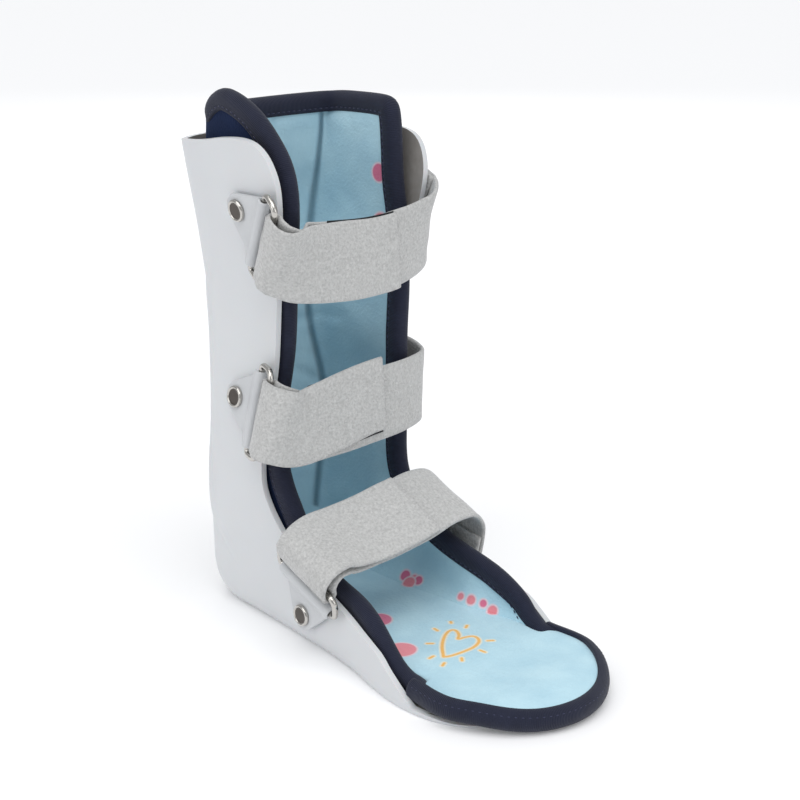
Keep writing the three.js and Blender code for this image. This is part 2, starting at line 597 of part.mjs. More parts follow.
// The bound edge lies on the plate and droops to the floor in front of it
function toeBinding() {
  const high = SHELL_WALL + CLEAR + BEAD_RADIUS;
  const low = CLEAR + BEAD_RADIUS;
  const points = toeArc(BEAD_RADIUS, 24).map((point) => {
    const droop = THREE.MathUtils.smoothstep(point.y, soleY(1) - BEAD_RADIUS, footY(1) - BEAD_RADIUS);
    return vec(point.x, point.y, lerp(high, low, droop));
  });
  return bead(points, 28, BEAD_RADIUS);
}

// Straps: the way over the front, from the folded end on the left to the ring on the right. across is a
// share of the half width, ahead and up are shares of the leg's or the foot's sizes, lean is in degrees.
const LEG_WAY = (row) => vec(row.across * LEG_WIDTH / 2, legY(row.ahead), legZ(row.up));
const FOOT_WAY = (row) => vec(row.across * SOLE_WIDTH / 2, footY(row.ahead), footZ(row.up));
const STRAP_WAYS = [
  {
    place: LEG_WAY, free: 0.50, lift: 0, rows: [
      { across: -0.940, ahead: 0.935, up: 0.836, lean: -18 },
      { across: -0.790, ahead: 1.014, up: 0.816, lean: -10 },
      { across: -0.450, ahead: 1.052, up: 0.796, lean: -3 },
      { across: 0.000, ahead: 1.062, up: 0.788, lean: 2 },
      { across: 0.450, ahead: 1.052, up: 0.793, lean: 2 },
      { across: 0.760, ahead: 1.028, up: 0.803, lean: -8 },
    ],
  },
  {
    place: LEG_WAY, free: 0.42, lift: 6, rows: [
      { across: -0.895, ahead: 0.884, up: 0.483, lean: -2 },
      { across: -0.790, ahead: 0.971, up: 0.477, lean: -2 },
      { across: -0.460, ahead: 1.017, up: 0.473, lean: 0 },
      { across: 0.000, ahead: 1.023, up: 0.469, lean: 2 },
      { across: 0.430, ahead: 0.994, up: 0.461, lean: 2 },
      { across: 0.720, ahead: 0.948, up: 0.456, lean: 0 },
    ],
  },
  {
    place: FOOT_WAY, free: 0.46, lift: 0, rows: [
      { across: -0.930, ahead: 0.140, up: 0.800, lean: 74 },
      { across: -0.760, ahead: 0.150, up: 0.900, lean: 66 },
      { across: -0.480, ahead: 0.158, up: 0.920, lean: 60 },
      { across: -0.120, ahead: 0.165, up: 0.885, lean: 56 },
      { across: 0.260, ahead: 0.160, up: 0.840, lean: 56 },
      { across: 0.600, ahead: 0.148, up: 0.805, lean: 60 },
      { across: 0.820, ahead: 0.142, up: 0.785, lean: 64 },
    ],
  },
];
const INNER_LAYER = SEAT_GAP + STRAP_THICK / 2;
const OUTER_LAYER = INNER_LAYER + STRAP_THICK + LAYER_GAP;
const SLEEVE_RADIUS = WIRE_RADIUS + CLEAR + TAB_THICK / 2;
const BAR_HEIGHT = SEAT_GAP + SLEEVE_RADIUS;
const APPROACH = 6; // straight run of a strap into its ring
const ROUND_WIRE = WIRE_RADIUS + CLEAR + STRAP_THICK / 2;

// Centre of a ring's bow, and the two directions that the ring lies in
function ringFrame(place) {
  const tilt = radians(RING_TILT);
  const reach = place.along.clone().multiplyScalar(Math.cos(tilt)).addScaledVector(place.out, Math.sin(tilt));
  const bar = place.at(TAB_LENGTH, 0, BAR_HEIGHT);
  const up = reach.clone().cross(place.across).normalize();
  up.multiplyScalar(Math.sign(up.dot(place.out)));
  return { bar, reach, up, bow: bar.clone().addScaledVector(reach, RING_DEPTH) };
}

// Way of a strap: an array of places, each with the direction across the band
function strapWay(i) {
  const end = STRAP_ENDS[i];
  const from = strapSeats[i];
  const to = tabSeats[i];
  const ring = ringFrame(to);
  const way = STRAP_WAYS[i];
  const underBow = ring.bow.clone().addScaledVector(ring.up, -ROUND_WIRE);
  const acrossOf = (lean) => vec(0, -Math.sin(radians(lean)), Math.cos(radians(lean)));
  const main = [
    { at: from.at(-end.back, end.aside, OUTER_LAYER), across: from.across },
    { at: from.at(0, end.aside, OUTER_LAYER), across: from.across },
    { at: from.at(end.front, end.aside, OUTER_LAYER), across: from.across },
    ...way.rows.map((row) => ({ at: way.place(row), across: acrossOf(row.lean) })),
    { at: underBow.clone().addScaledVector(ring.reach, APPROACH), across: to.across },
    { at: underBow, across: to.across },
  ];
  const middle = new THREE.CatmullRomCurve3(main.map((row) => row.at), false, 'centripetal');
  const leaning = new THREE.CatmullRomCurve3(main.map((row) => row.across), false, 'catmullrom', 0.5);
  const steps = 27;
  const forth = [];
  for (let k = 0; k <= steps; k += 1) {
    const along = middle.getTangent(k / steps);
    const across = leaning.getPoint(k / steps);
    across.addScaledVector(along, -across.dot(along)).normalize();
    forth.push({ at: middle.getPoint(k / steps), across, out: across.clone().cross(along) });
  }
  const inner = (a) => ({ at: from.at(a, end.aside, INNER_LAYER), across: from.across });
  const endFold = turnRound(from.at(-end.back, end.aside, (INNER_LAYER + OUTER_LAYER) / 2), from.along, from.out,
    (OUTER_LAYER - INNER_LAYER) / 2, from.across, 5);
  const ringFold = turnRound(ring.bow, ring.reach, ring.up, ROUND_WIRE, to.across, 7);
  const last = Math.round(steps * (1 - way.free));
  const back = [];
  for (let k = steps - 1; k >= last; k -= 1) {
    const away = (steps - k) / (steps - last);
    const apart = lerp(ROUND_WIRE * 2, STRAP_THICK + LAYER_GAP, THREE.MathUtils.smoothstep(away, 0.1, 0.6));
    const at = forth[k].at.clone().addScaledVector(forth[k].out, apart);
    at.addScaledVector(forth[k].across, way.lift * THREE.MathUtils.smoothstep(away, 0.1, 1));
    back.push({ at, across: forth[k].across });
  }
  return [inner(end.lap), inner(end.lap / 2), ...endFold, ...forth.slice(1), ...ringFold, ...back];
}

// Half a turn of a band round a centre, from its inner side over its far side to its outer side
function turnRound(centre, along, out, radius, across, steps) {
  const places = [];
  for (let i = 0; i <= steps; i += 1) {
    const turn = i / steps * Math.PI;
    const at = centre.clone().addScaledVector(out, -radius * Math.cos(turn));
    at.addScaledVector(along, -radius * Math.sin(turn));
    places.push({ at, across });
  }
  return places;
}

// A flat band of even thickness through places with their directions across
function band(places, width, thick) {
  const rings = places.map((place, i) => {
    const before = places[Math.max(i - 1, 0)].at;
    const after = places[Math.min(i + 1, places.length - 1)].at;
    const along = after.clone().sub(before).normalize();
    const across = place.across.clone().addScaledVector(along, -place.across.dot(along)).normalize();
    const out = across.clone().cross(along);
    const corner = (a, b) => place.at.clone().addScaledVector(across, a * width / 2).addScaledVector(out, b * thick / 2);
    return [corner(-1, -1), corner(1, -1), corner(1, 1), corner(-1, 1)];
  });
  return loft(rings);
}

function strap(i) {
  const solid = solidOf(band(strapWay(i), STRAP_WIDTH, STRAP_THICK));
  return geometryOf(solid.subtract(borer(strapSeats[i], SHANK_RADIUS + CLEAR)));
}

// A geometry drawn in a seat's own directions, put on the shell
function onSeat(geometry, place, x, y, z) {
  const origin = place.origin;
  geometry.applyMatrix4(new THREE.Matrix4().makeBasis(x, y, z).setPosition(origin.x, origin.y, origin.z));
  return geometry;
}

// Tab: two layers, narrow round the rivet and wide at the sleeve round the ring's bar
const TAB_HALF = STRAP_WIDTH / 2 + 0.8;

function tab(i) {
  const place = tabSeats[i];
  const plate = new THREE.Shape();
  plate.moveTo(TAB_LENGTH, -TAB_HALF);
  plate.lineTo(TAB_LENGTH, TAB_HALF);
  plate.absarc(0, 0, TAB_END_RADIUS, radians(115), radians(245));
  const depth = TAB_THICK;
  const plateForm = new THREE.ExtrudeGeometry(plate, { depth, bevelEnabled: false, steps: 1, curveSegments: 6 });
  plateForm.translate(0, 0, SEAT_GAP);
  const sleeve = new THREE.CylinderGeometry(SLEEVE_RADIUS, SLEEVE_RADIUS, TAB_HALF * 2, 10);
  sleeve.translate(TAB_LENGTH, 0, BAR_HEIGHT);
  const hole = new THREE.CylinderGeometry(WIRE_RADIUS + CLEAR, WIRE_RADIUS + CLEAR, TAB_HALF * 3, 8);
  hole.translate(TAB_LENGTH, 0, BAR_HEIGHT);
  const turned = (geometry) => solidOf(onSeat(geometry, place, place.along, place.across, sideways(place)));
  const solid = turned(plateForm).add(turned(sleeve)).subtract(turned(hole));
  return geometryOf(solid.subtract(borer(place, SHANK_RADIUS + CLEAR)));
}

// The third direction of a seat, so that the three make a right-handed set
function sideways(place) {
  return place.along.clone().cross(place.across);
}

const WIRE_SIDES = 6;

// Ring: a flat D of round wire, its straight bar inside the tab's sleeve
const RING_HALF = STRAP_WIDTH / 2 + 2.5 + WIRE_RADIUS;

function dRing(i) {
  const place = tabSeats[i];
  const { bar, reach } = ringFrame(place);
  const loop = new THREE.Path();
  const bowCorner = RING_DEPTH * 0.45;
  const barCorner = WIRE_RADIUS * 1.7;
  loop.moveTo(-RING_HALF + barCorner, 0);
  loop.lineTo(RING_HALF - barCorner, 0);
  loop.absarc(RING_HALF - barCorner, barCorner, barCorner, radians(-90), 0);
  loop.absarc(RING_HALF - bowCorner, RING_DEPTH - bowCorner, bowCorner, 0, radians(90));
  loop.absarc(-RING_HALF + bowCorner, RING_DEPTH - bowCorner, bowCorner, radians(90), radians(180));
  loop.absarc(-RING_HALF + barCorner, barCorner, barCorner, radians(180), radians(270));
  const corners = loop.getPoints(2).filter((point, k, all) => k === 0 || point.distanceTo(all[k - 1]) > 0.01);
  corners.pop();
  const plane = place.across.clone().cross(reach).normalize();
  const rings = corners.map((point, k) => {
    const along = corners[(k + 1) % corners.length].clone().sub(corners[(k + corners.length - 1) % corners.length]);
    along.normalize();
    const centre = bar.clone().addScaledVector(place.across, point.x).addScaledVector(reach, point.y);
    const outward = place.across.clone().multiplyScalar(along.y).addScaledVector(reach, -along.x);
    return Array.from({ length: WIRE_SIDES }, (_, m) => {
      const turn = m / WIRE_SIDES * Math.PI * 2;
      const rim = centre.clone().addScaledVector(outward, WIRE_RADIUS * Math.cos(turn));
      return rim.addScaledVector(plane, WIRE_RADIUS * Math.sin(turn));
    });
  });
  return loft(rings, true);
}

// Rivet: washer inside the shell, shank, and a cap with a bevelled rim; capHeight is where the cap sits
function rivet(place, capHeight) {
  const washer = -SHELL_WALL - 0.3;
  const profile = [
    [0, washer - WASHER_THICK], [WASHER_RADIUS, washer - WASHER_THICK], [WASHER_RADIUS, washer],
    [SHANK_RADIUS, washer],
    [SHANK_RADIUS, capHeight], [RIVET_RADIUS, capHeight], [RIVET_RADIUS, capHeight + 0.8],
    [RIVET_RADIUS * 0.84, capHeight + 1.7], [RIVET_RADIUS * 0.7, capHeight + 1.3], [0, capHeight + 1.5],
  ];
  const geometry = new THREE.LatheGeometry(profile.map(([r, h]) => new THREE.Vector2(r, h)), 10);
  geometry.applyQuaternion(new THREE.Quaternion().setFromUnitVectors(vec(0, 1, 0), place.out));
  geometry.translate(place.origin.x, place.origin.y, place.origin.z);
  return geometryOf(solidOf(geometry));
}

// Labels behind, sewn in under the top binding: along the outline from one x to another
function behindAt(x, z, off) {
  const ring = outline(z, linerSide(z) - off, linerBack(z) - off, LINER_IN).filter((point) => point.y < legY(0.5));
  const sorted = ring.sort((a, b) => a.x - b.x);
  const k = clamp(sorted.findIndex((point) => point.x > x), 1, sorted.length - 1);
  const [a, b] = [sorted[k - 1], sorted[k]];
  return vec(x, lerp(a.y, b.y, (x - a.x) / (b.x - a.x)), z);
}

const LABEL_TOP = LINER_HEIGHT - BEAD_RADIUS * 2 - CLEAR * 2;
const LOOP_TOP = LOOP_WIDTH * 0.135; // so that its raised corner stays under the binding

function blueLabel() {
  const [low, high] = [LABEL_TOP - LABEL_HEIGHT, LABEL_TOP];
  const rings = [];
  for (let i = 0; i <= 8; i += 1) {
    const x = lerp(-0.375, -0.04, i / 8) * LEG_WIDTH;
    const near = CLEAR * 2;
    rings.push([behindAt(x, low, near), behindAt(x, low, near + LABEL_THICK),
      behindAt(x, high, near + LABEL_THICK), behindAt(x, high, near)]);
  }
  return loft(rings);
}

function whiteLabel() {
  const middle = -0.02 * LEG_WIDTH;
  const surface = behindAt(middle, LABEL_TOP, 0);
  surface.y = Math.min(surface.y, behindAt(middle, LABEL_TOP - LOOP_DROP - 2, 0).y);
  const across = vec(Math.cos(radians(14)), 0, Math.sin(radians(14)));
  const down = vec(Math.sin(radians(14)), 0, -Math.cos(radians(14)));
  const place = (depth, off) => {
    return { at: surface.clone().addScaledVector(down, depth).add(vec(0, -off, 0)), across };
  };
  const near = CLEAR * 2 + LABEL_THICK * 1.7;
  const far = near + LABEL_THICK * 2.5;
  const bend = turnRound(place(LOOP_DROP, (near + far) / 2).at, down.clone().negate(), vec(0, -1, 0), (far - near) / 2,
    across, 5);
  const downward = [place(LOOP_TOP, near), place(LOOP_DROP / 2, near)];
  const upward = [place(LOOP_DROP / 2, far), place(LOOP_TOP, far)];
  return band([...downward, ...bend, ...upward], LOOP_WIDTH, LABEL_THICK);
}

addPiece('shell', shell(), GREY_PLASTIC);
addPiece('liner', liner(), NAVY_VELOUR);
addPiece('footbed', footbed(), BLUE_PLUSH);
addPiece('leg_binding', legBinding(), NAVY_TAPE);
addPiece('toe_binding', toeBinding(), NAVY_TAPE);
LEVEL_NAMES.forEach((name, i) => {
  addPiece(`strap_${name}`, strap(i), GREY_WEBBING);
  addPiece(`tab_${name}`, tab(i), GREY_TAB);
  addPiece(`d_ring_${name}`, dRing(i), NICKEL);
  addPiece(`tab_rivet_${name}`, rivet(tabSeats[i], SEAT_GAP + TAB_THICK + 0.3), NICKEL);
  addPiece(`strap_rivet_${name}`, rivet(strapSeats[i], OUTER_LAYER + STRAP_THICK / 2 + 0.3), NICKEL);
});
addPiece('label_blue', blueLabel(), BLUE_SATIN);
addPiece('label_white', whiteLabel(), WHITE_SATIN);

export default boot;
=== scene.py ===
# A medical walking boot: moulded shell, padded liner with bound edges, footbed, three webbing straps and
# their fastenings. Worked out in millimetres, x to the wearer's right, y to the toes and z up, and made in
# metres.
import math

import bmesh
import bpy
import numpy as np
from mathutils import Matrix, Vector, noise


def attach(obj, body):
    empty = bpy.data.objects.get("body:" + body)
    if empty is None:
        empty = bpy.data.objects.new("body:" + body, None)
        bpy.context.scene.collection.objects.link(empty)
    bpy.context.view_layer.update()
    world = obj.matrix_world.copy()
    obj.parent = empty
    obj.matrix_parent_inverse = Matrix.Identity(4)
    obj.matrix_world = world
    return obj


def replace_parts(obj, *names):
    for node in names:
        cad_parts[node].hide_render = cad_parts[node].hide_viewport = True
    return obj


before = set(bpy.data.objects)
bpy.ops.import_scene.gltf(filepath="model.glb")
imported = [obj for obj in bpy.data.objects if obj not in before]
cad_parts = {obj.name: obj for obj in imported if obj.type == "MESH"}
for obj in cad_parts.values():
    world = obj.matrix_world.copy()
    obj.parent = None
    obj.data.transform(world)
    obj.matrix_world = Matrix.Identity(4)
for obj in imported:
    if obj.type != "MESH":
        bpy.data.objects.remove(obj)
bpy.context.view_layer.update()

# Camera, floor and light.
# The camera stands where the photograph's front view was taken from, with a longer lens, so that the boot
# fills the picture. The floor is matt white paper, lit through silk and by three weak soft boxes.
MM = 0.001
CAMERA_PLACE = Vector((505.5, 636.1, 370.0)) * MM
CAMERA_AIM = Vector((0.0, 71.6, 124.0)) * MM
CAMERA_LENS = 75.0


def linear(code):
    """sRGB hex to a linear colour"""
    parts = [int(code[i:i + 2], 16) / 255 for i in (1, 3, 5)]
    return [c / 12.92 if c <= 0.04045 else ((c + 0.055) / 1.055) ** 2.4 for c in parts] + [1.0]


def add_node(material, kind, settings=None, **links):
    """One node, with its settings by name and its inputs by name, each a value or another node's output"""
    tree = material.node_tree
    node = tree.nodes.new(kind)
    for key, value in (settings or {}).items():
        setattr(node, key, value)
    for key, value in links.items():
        numbered = key[0] == "i" and key[1:].isdigit()
        socket = node.inputs[int(key[1:]) if numbered else key.replace("_", " ")]
        if isinstance(value, bpy.types.NodeSocket):
            tree.links.new(value, socket)
        else:
            socket.default_value = value
    return node


def new_material(name, colour, roughness, **constants):
    """A material with its Principled shader; constants are set on the shader's own sockets"""
    material = bpy.data.materials.new(name)
    material.use_nodes = True
    shader = material.node_tree.nodes["Principled BSDF"]
    shader.inputs["Base Color"].default_value = linear(colour)
    shader.inputs["Roughness"].default_value = roughness
    for key, value in constants.items():
        shader.inputs[key.replace("_", " ")].default_value = value
    return material, shader


def link(material, output, socket):
    material.node_tree.links.new(output, socket)


def object_place(material):
    return add_node(material, "ShaderNodeTexCoord").outputs["Object"]


def worked_out(material, operation, first, second=None):
    """The result of one sum on two values"""
    inputs = {"i0": first} if second is None else {"i0": first, "i1": second}
    return add_node(material, "ShaderNodeMath", {"operation": operation}, **inputs).outputs["Value"]


def toned(material, cloud, dark, light, dark_at=0.0, light_at=1.0):
    """A colour that drifts between two tones with a cloud of noise"""
    ramp = add_node(material, "ShaderNodeValToRGB", Fac=cloud)
    for stop, tone, position in zip(ramp.color_ramp.elements, (dark, light), (dark_at, light_at)):
        stop.position = position
        stop.color = linear(tone)
    return ramp.outputs["Color"]


def raised(material, shader, height, strength, distance):
    """Fine relief too low for the mesh"""
    bump = add_node(material, "ShaderNodeBump", Height=height, Strength=strength, Distance=distance)
    link(material, bump.outputs["Normal"], shader.inputs["Normal"])


camera = bpy.data.objects.new("camera", bpy.data.cameras.new("camera"))
bpy.context.scene.collection.objects.link(camera)
camera.location = CAMERA_PLACE
camera.rotation_mode = "QUATERNION"
camera.rotation_quaternion = (CAMERA_AIM - CAMERA_PLACE).to_track_quat("-Z", "Y")
camera.data.lens = CAMERA_LENS
camera.data.sensor_width = 36.0
camera.data.clip_start = 0.02
bpy.context.scene.camera = camera

floor_bm = bmesh.new()
bmesh.ops.create_grid(floor_bm, x_segments=1, y_segments=1, size=30.0)
floor_mesh = bpy.data.meshes.new("floor")
floor_bm.to_mesh(floor_mesh)
floor_bm.free()
floor = bpy.data.objects.new("floor", floor_mesh)
bpy.context.scene.collection.objects.link(floor)
paper, paper_shader = new_material("matt white paper", "#f4f4f5", 0.9)
paper_shader.inputs["Emission Color"].default_value = linear("#ffffff")
paper_shader.inputs["Emission Strength"].default_value = 0.1
floor.data.materials.append(paper)

world = bpy.context.scene.world or bpy.data.worlds.new("studio")
bpy.context.scene.world = world
world.use_nodes = True
world.node_tree.nodes["Background"].inputs["Color"].default_value = (0.96, 0.98, 1.0, 1.0)
world.node_tree.nodes["Background"].inputs["Strength"].default_value = 0.50
bpy.context.scene.view_settings.view_transform = "Standard"

# A broad sun through silk lights the paper evenly as far as the camera sees; the soft boxes shape the boot.
# Each soft box: place in metres, size in metres, power in watts
silk = bpy.data.lights.new("silk", "SUN")
silk.energy = 1.55
silk.angle = math.radians(60)
sun = bpy.data.objects.new("silk", silk)
sun.rotation_mode = "QUATERNION"
sun.rotation_quaternion = Vector((-0.25, -0.30, -1.0)).to_track_quat("-Z", "Y")
bpy.context.scene.collection.objects.link(sun)
SOFT_BOXES = [
    {"name": "right_of_camera", "place": (-0.2, 1.5, 0.7), "size": 0.9, "power": 3.0},
    {"name": "left_of_camera", "place": (1.5, -0.1, 0.8), "size": 1.0, "power": 4.0},
    {"name": "behind", "place": (-1.1, -1.2, 0.9), "size": 1.0, "power": 3.5},
]
for box in SOFT_BOXES:
    lamp = bpy.data.lights.new(box["name"], "AREA")
    lamp.shape = "DISK"
    lamp.size = box["size"]
    lamp.energy = box["power"]
    light = bpy.data.objects.new(box["name"], lamp)
    light.location = box["place"]
    light.rotation_mode = "QUATERNION"
    light.rotation_quaternion = (Vector((0.0, 0.05, 0.12)) - light.location).to_track_quat("-Z", "Y")
    bpy.context.scene.collection.objects.link(light)

# Shell.
# One piece of light grey polypropylene, pressed over a form: a heel and leg in one with the sole plate, its
# edges trimmed and buffed round, four shapes cut through behind, and a low stiffening rib round each corner.
LEG_HEIGHT = 241.0
LEG_DEPTH = 86.0
LEG_WIDTH = 104.0
NOTCH_HEIGHT = 72.0
FOOT_REACH = 152.0
SOLE_LENGTH = LEG_DEPTH + FOOT_REACH - 19.0
SOLE_WIDTH = 100.0
SHELL_WALL = 3.0
HEEL_ROLL = 26.0
BALL_ROLL = 12.0
HEEL_CORNER = 34.0
CORNER_POWER = 3.0
NOSE_POWER = 2.4
HEEL_SET_IN = 0.09
HEEL_Y = -LEG_DEPTH / 2
BALL = 0.78
# up, half and back as shares of the leg's height, half width and depth
LEG_LEVELS = np.array([
    [0.00, 0.820, 0.000], [0.12, 0.830, 0.002], [0.24, 0.858, 0.019], [0.40, 0.870, 0.055],
    [0.60, 0.770, 0.010], [0.80, 0.845, -0.024], [1.00, 1.000, -0.041], [1.20, 1.100, -0.050],
])
# at as a share of the sole's length, sole and wall as shares of half its width
FOOT_STATIONS = np.array([
    [0.00, 0.56, 0.88], [0.16, 0.62, 0.88], [0.34, 0.68, 0.89], [0.48, 0.72, 0.91],
    [0.59, 0.81, 0.94], [0.66, 0.91, 0.98], [0.73, 0.98, 1.02], [0.78, 1.00, 1.03],
])


def read(table, column, at):
    """Smooth curve through one column of a table, over its first column"""
    keys, values = table[:, 0], table[:, column]
    at = np.clip(np.asarray(at, float), keys[0], keys[-1])
    i = np.clip(np.searchsorted(keys, at, side="right") - 1, 0, len(keys) - 2)
    slopes = np.gradient(values, keys)
    slopes[1:-1] = (values[2:] - values[:-2]) / (keys[2:] - keys[:-2])
    span = keys[i + 1] - keys[i]
    t = (at - keys[i]) / span
    rise = (t ** 3 - 2 * t ** 2 + t) * slopes[i] + (t ** 3 - t ** 2) * slopes[i + 1]
    return values[i] + (values[i + 1] - values[i]) * t * t * (3 - 2 * t) + rise * span


def smooth(x, low, high):
    t = np.clip((np.asarray(x, float) - low) / (high - low), 0, 1)
    return t * t * (3 - 2 * t)


def leg_y(share):
    return HEEL_Y + share * LEG_DEPTH


def foot_y(share):
    return LEG_DEPTH / 2 + share * FOOT_REACH


def rolled(z, height):
    return np.sqrt(np.maximum(1 - (1 - np.clip(z / height, 0, 1)) ** 2, 0))


def back_y(z, floor=0.0):
    heel = HEEL_Y + read(LEG_LEVELS, 2, z / LEG_HEIGHT) * LEG_DEPTH
    return heel + (1 - rolled(z - floor, HEEL_ROLL)) * HEEL_SET_IN * LEG_DEPTH


def side_x(y, z, floor=0.0):
    at = (y - HEEL_Y) / SOLE_LENGTH
    sole = read(FOOT_STATIONS, 1, at) * SOLE_WIDTH / 2
    foot_wall = read(FOOT_STATIONS, 2, at) * SOLE_WIDTH / 2
    leg_half = read(LEG_LEVELS, 1, z / LEG_HEIGHT) * LEG_WIDTH / 2
    to_foot = smooth(y, leg_y(0.75), leg_y(1.1)) * (1 - smooth(z, NOTCH_HEIGHT * 0.8, NOTCH_HEIGHT * 1.3))
    wall = leg_half + (foot_wall - leg_half) * to_foot
    roll = HEEL_ROLL + (BALL_ROLL - HEEL_ROLL) * np.clip(at / BALL, 0, 1)
    return sole + (wall - sole) * rolled(z - floor, roll)


def outline_raw(way, z, floor):
    """Right half of the plan outline: way runs 0 to 1 round the corner, 1 to 2 along the side to the ball and
    2 to 3 round the nose"""
    back = back_y(z, floor)
    corner_end = back + HEEL_CORNER
    half = side_x(corner_end, z, floor)
    turn = np.clip(way, 0, 1) * math.pi / 2
    sin, cos = np.sin(turn), np.maximum(np.cos(turn), 0)
    reach = ((sin / half) ** CORNER_POWER + (cos / HEEL_CORNER) ** CORNER_POWER) ** (-1 / CORNER_POWER)
    ball_y = HEEL_Y + BALL * SOLE_LENGTH
    y_side = corner_end + (ball_y - corner_end) * np.clip(way - 1, 0, 1)
    nose = np.clip(way - 2, 0, 1) * math.pi / 2
    x_nose = side_x(ball_y, z, floor) * np.maximum(np.cos(nose), 0) ** (2 / NOSE_POWER)
    y_nose = ball_y + (HEEL_Y + SOLE_LENGTH - ball_y) * np.sin(nose) ** (2 / NOSE_POWER)
    x = np.where(way <= 1, reach * sin, np.where(way <= 2, side_x(y_side, z, floor), x_nose))
    y = np.where(way <= 1, corner_end - reach * cos, np.where(way <= 2, y_side, y_nose))
    return x, y


def outline(way, z, in_side=0.0, in_back=None, floor=0.0):
    """The same moved in along its normal, by one amount at the sides and one behind"""
    in_back = in_side if in_back is None else in_back
    way, z = np.broadcast_arrays(np.asarray(way, float), np.asarray(z, float))
    step = 0.01
    x0, y0 = outline_raw(np.clip(way - step, 0, 3), z, floor)
    x1, y1 = outline_raw(np.clip(way + step, 0, 3), z, floor)
    x, y = outline_raw(way, z, floor)
    length = np.maximum(np.hypot(x1 - x0, y1 - y0), 1e-9)
    normal_x = np.where(way <= 0, 0, (y1 - y0) / length)
    normal_y = np.where(way <= 0, -1, -(x1 - x0) / length)
    amount = in_side + (in_back - in_side) * np.clip(-normal_y, 0, 1) ** 2
    return x - normal_x * amount, y - normal_y * amount


def way_at(y, z, floor=0.0):
    """The way at which the outline passes a given y"""
    low, high = np.zeros_like(z), np.full_like(z, 3.0)
    for _ in range(24):
        middle = (low + high) / 2
        _, here = outline_raw(middle, z, floor)
        low = np.where(here < y, middle, low)
        high = np.where(here < y, high, middle)
    return (low + high) / 2


def spline(points, count):
    """Evenly spaced points on a Catmull-Rom curve through a few points"""
    points = [np.array(p, float) for p in points]
    ends = [2 * points[0] - points[1], *points, 2 * points[-1] - points[-2]]
    fine = []
    for a, b, c, d in zip(ends, ends[1:], ends[2:], ends[3:]):
        for t in np.linspace(0, 1, 24, endpoint=False):
            fine.append(0.5 * (2 * b + (c - a) * t + (2 * a - 5 * b + 4 * c - d) * t ** 2
                               + (3 * b - a - 3 * c + d) * t ** 3))
    fine.append(points[-1])
    fine = np.array(fine)
    gaps = np.linalg.norm(np.diff(fine, axis=0), axis=1)
    length = np.concatenate([[0], np.cumsum(gaps)])
    at = np.linspace(0, length[-1], count)
    return np.stack([np.interp(at, length, fine[:, k]) for k in range(fine.shape[1])], axis=1)


def new_piece(name, bm, *materials, smooth_faces=True):
    """Turns a bmesh in millimetres into an object in metres, at the origin, riding on the boot"""
    bmesh.ops.scale(bm, vec=(MM, MM, MM), verts=bm.verts)
    mesh = bpy.data.meshes.new(name)
    bm.to_mesh(mesh)
    bm.free()
    piece = bpy.data.objects.new(name, mesh)
    bpy.context.scene.collection.objects.link(piece)
    for material in materials:
        mesh.materials.append(material)
    for face in mesh.polygons:
        face.use_smooth = smooth_faces
    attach(piece, "root")
    return piece


def grid_of(points, closed_across=False, uv_scale=(1.0, 1.0), material=0, bm=None):
    """A bmesh grid laid through an array of points, rows by columns. Its UV map is in the given size."""
    rows, columns = points.shape[:2]
    bm = bm or bmesh.new()
    first = len(bm.verts)
    made = bmesh.ops.create_grid(bm, x_segments=columns - 1, y_segments=rows - 1, size=1.0,
                                 calc_uvs=True)["verts"]
    uv = bm.loops.layers.uv.verify()
    faces = set()
    for k, vert in enumerate(made):
        vert.co = points[k // columns, k % columns]
        faces.update(vert.link_faces)
    for face in faces:
        face.material_index = material
    bm.verts.index_update()
    for face in faces:
        for loop in face.loops:
            k = loop.vert.index - first
            loop[uv].uv = (k // columns / (rows - 1) * uv_scale[0], k % columns / (columns - 1) * uv_scale[1])
    if closed_across:
        bmesh.ops.remove_doubles(bm, verts=made, dist=1e-4)
    return bm


# Front edges of the shell seen from the side, y and z in millimetres, from the toe up to the ear's corner
def edge_yz(leg_rows, foot_rows, height=LEG_HEIGHT):
    leg = [(leg_y(at), up * height) for at, up in leg_rows]
    foot = [(foot_y(at), up * NOTCH_HEIGHT) for at, up in foot_rows]
    return leg + foot


SHELL_RIGHT_EAR = [(0.05, 1.000), (0.33, 1.010), (0.55, 1.024), (0.74, 1.030), (0.87, 1.022), (0.96, 0.994),
                   (1.00, 0.945), (0.965, 0.870)]
SHELL_LEFT_EAR = [(0.05, 1.000), (0.33, 1.005), (0.55, 1.009), (0.72, 1.007), (0.83, 0.994), (0.90, 0.965),
                  (0.936, 0.920), (0.925, 0.850)]
SHELL_LEG_EDGE = [(0.88, 0.745), (0.825, 0.640), (0.785, 0.500), (0.750, 0.400), (0.742, 0.330)]
SHELL_FOOT_EDGE = [(-0.128, 0.98), (-0.086, 0.85), (-0.010, 0.70), (0.118, 0.55), (0.283, 0.42),
                   (0.379, 0.345),
                   (0.454, 0.29), (0.500, 0.22), (0.546, 0.15), (0.590, 0.08),
                   (0.612, SHELL_WALL / NOTCH_HEIGHT)]


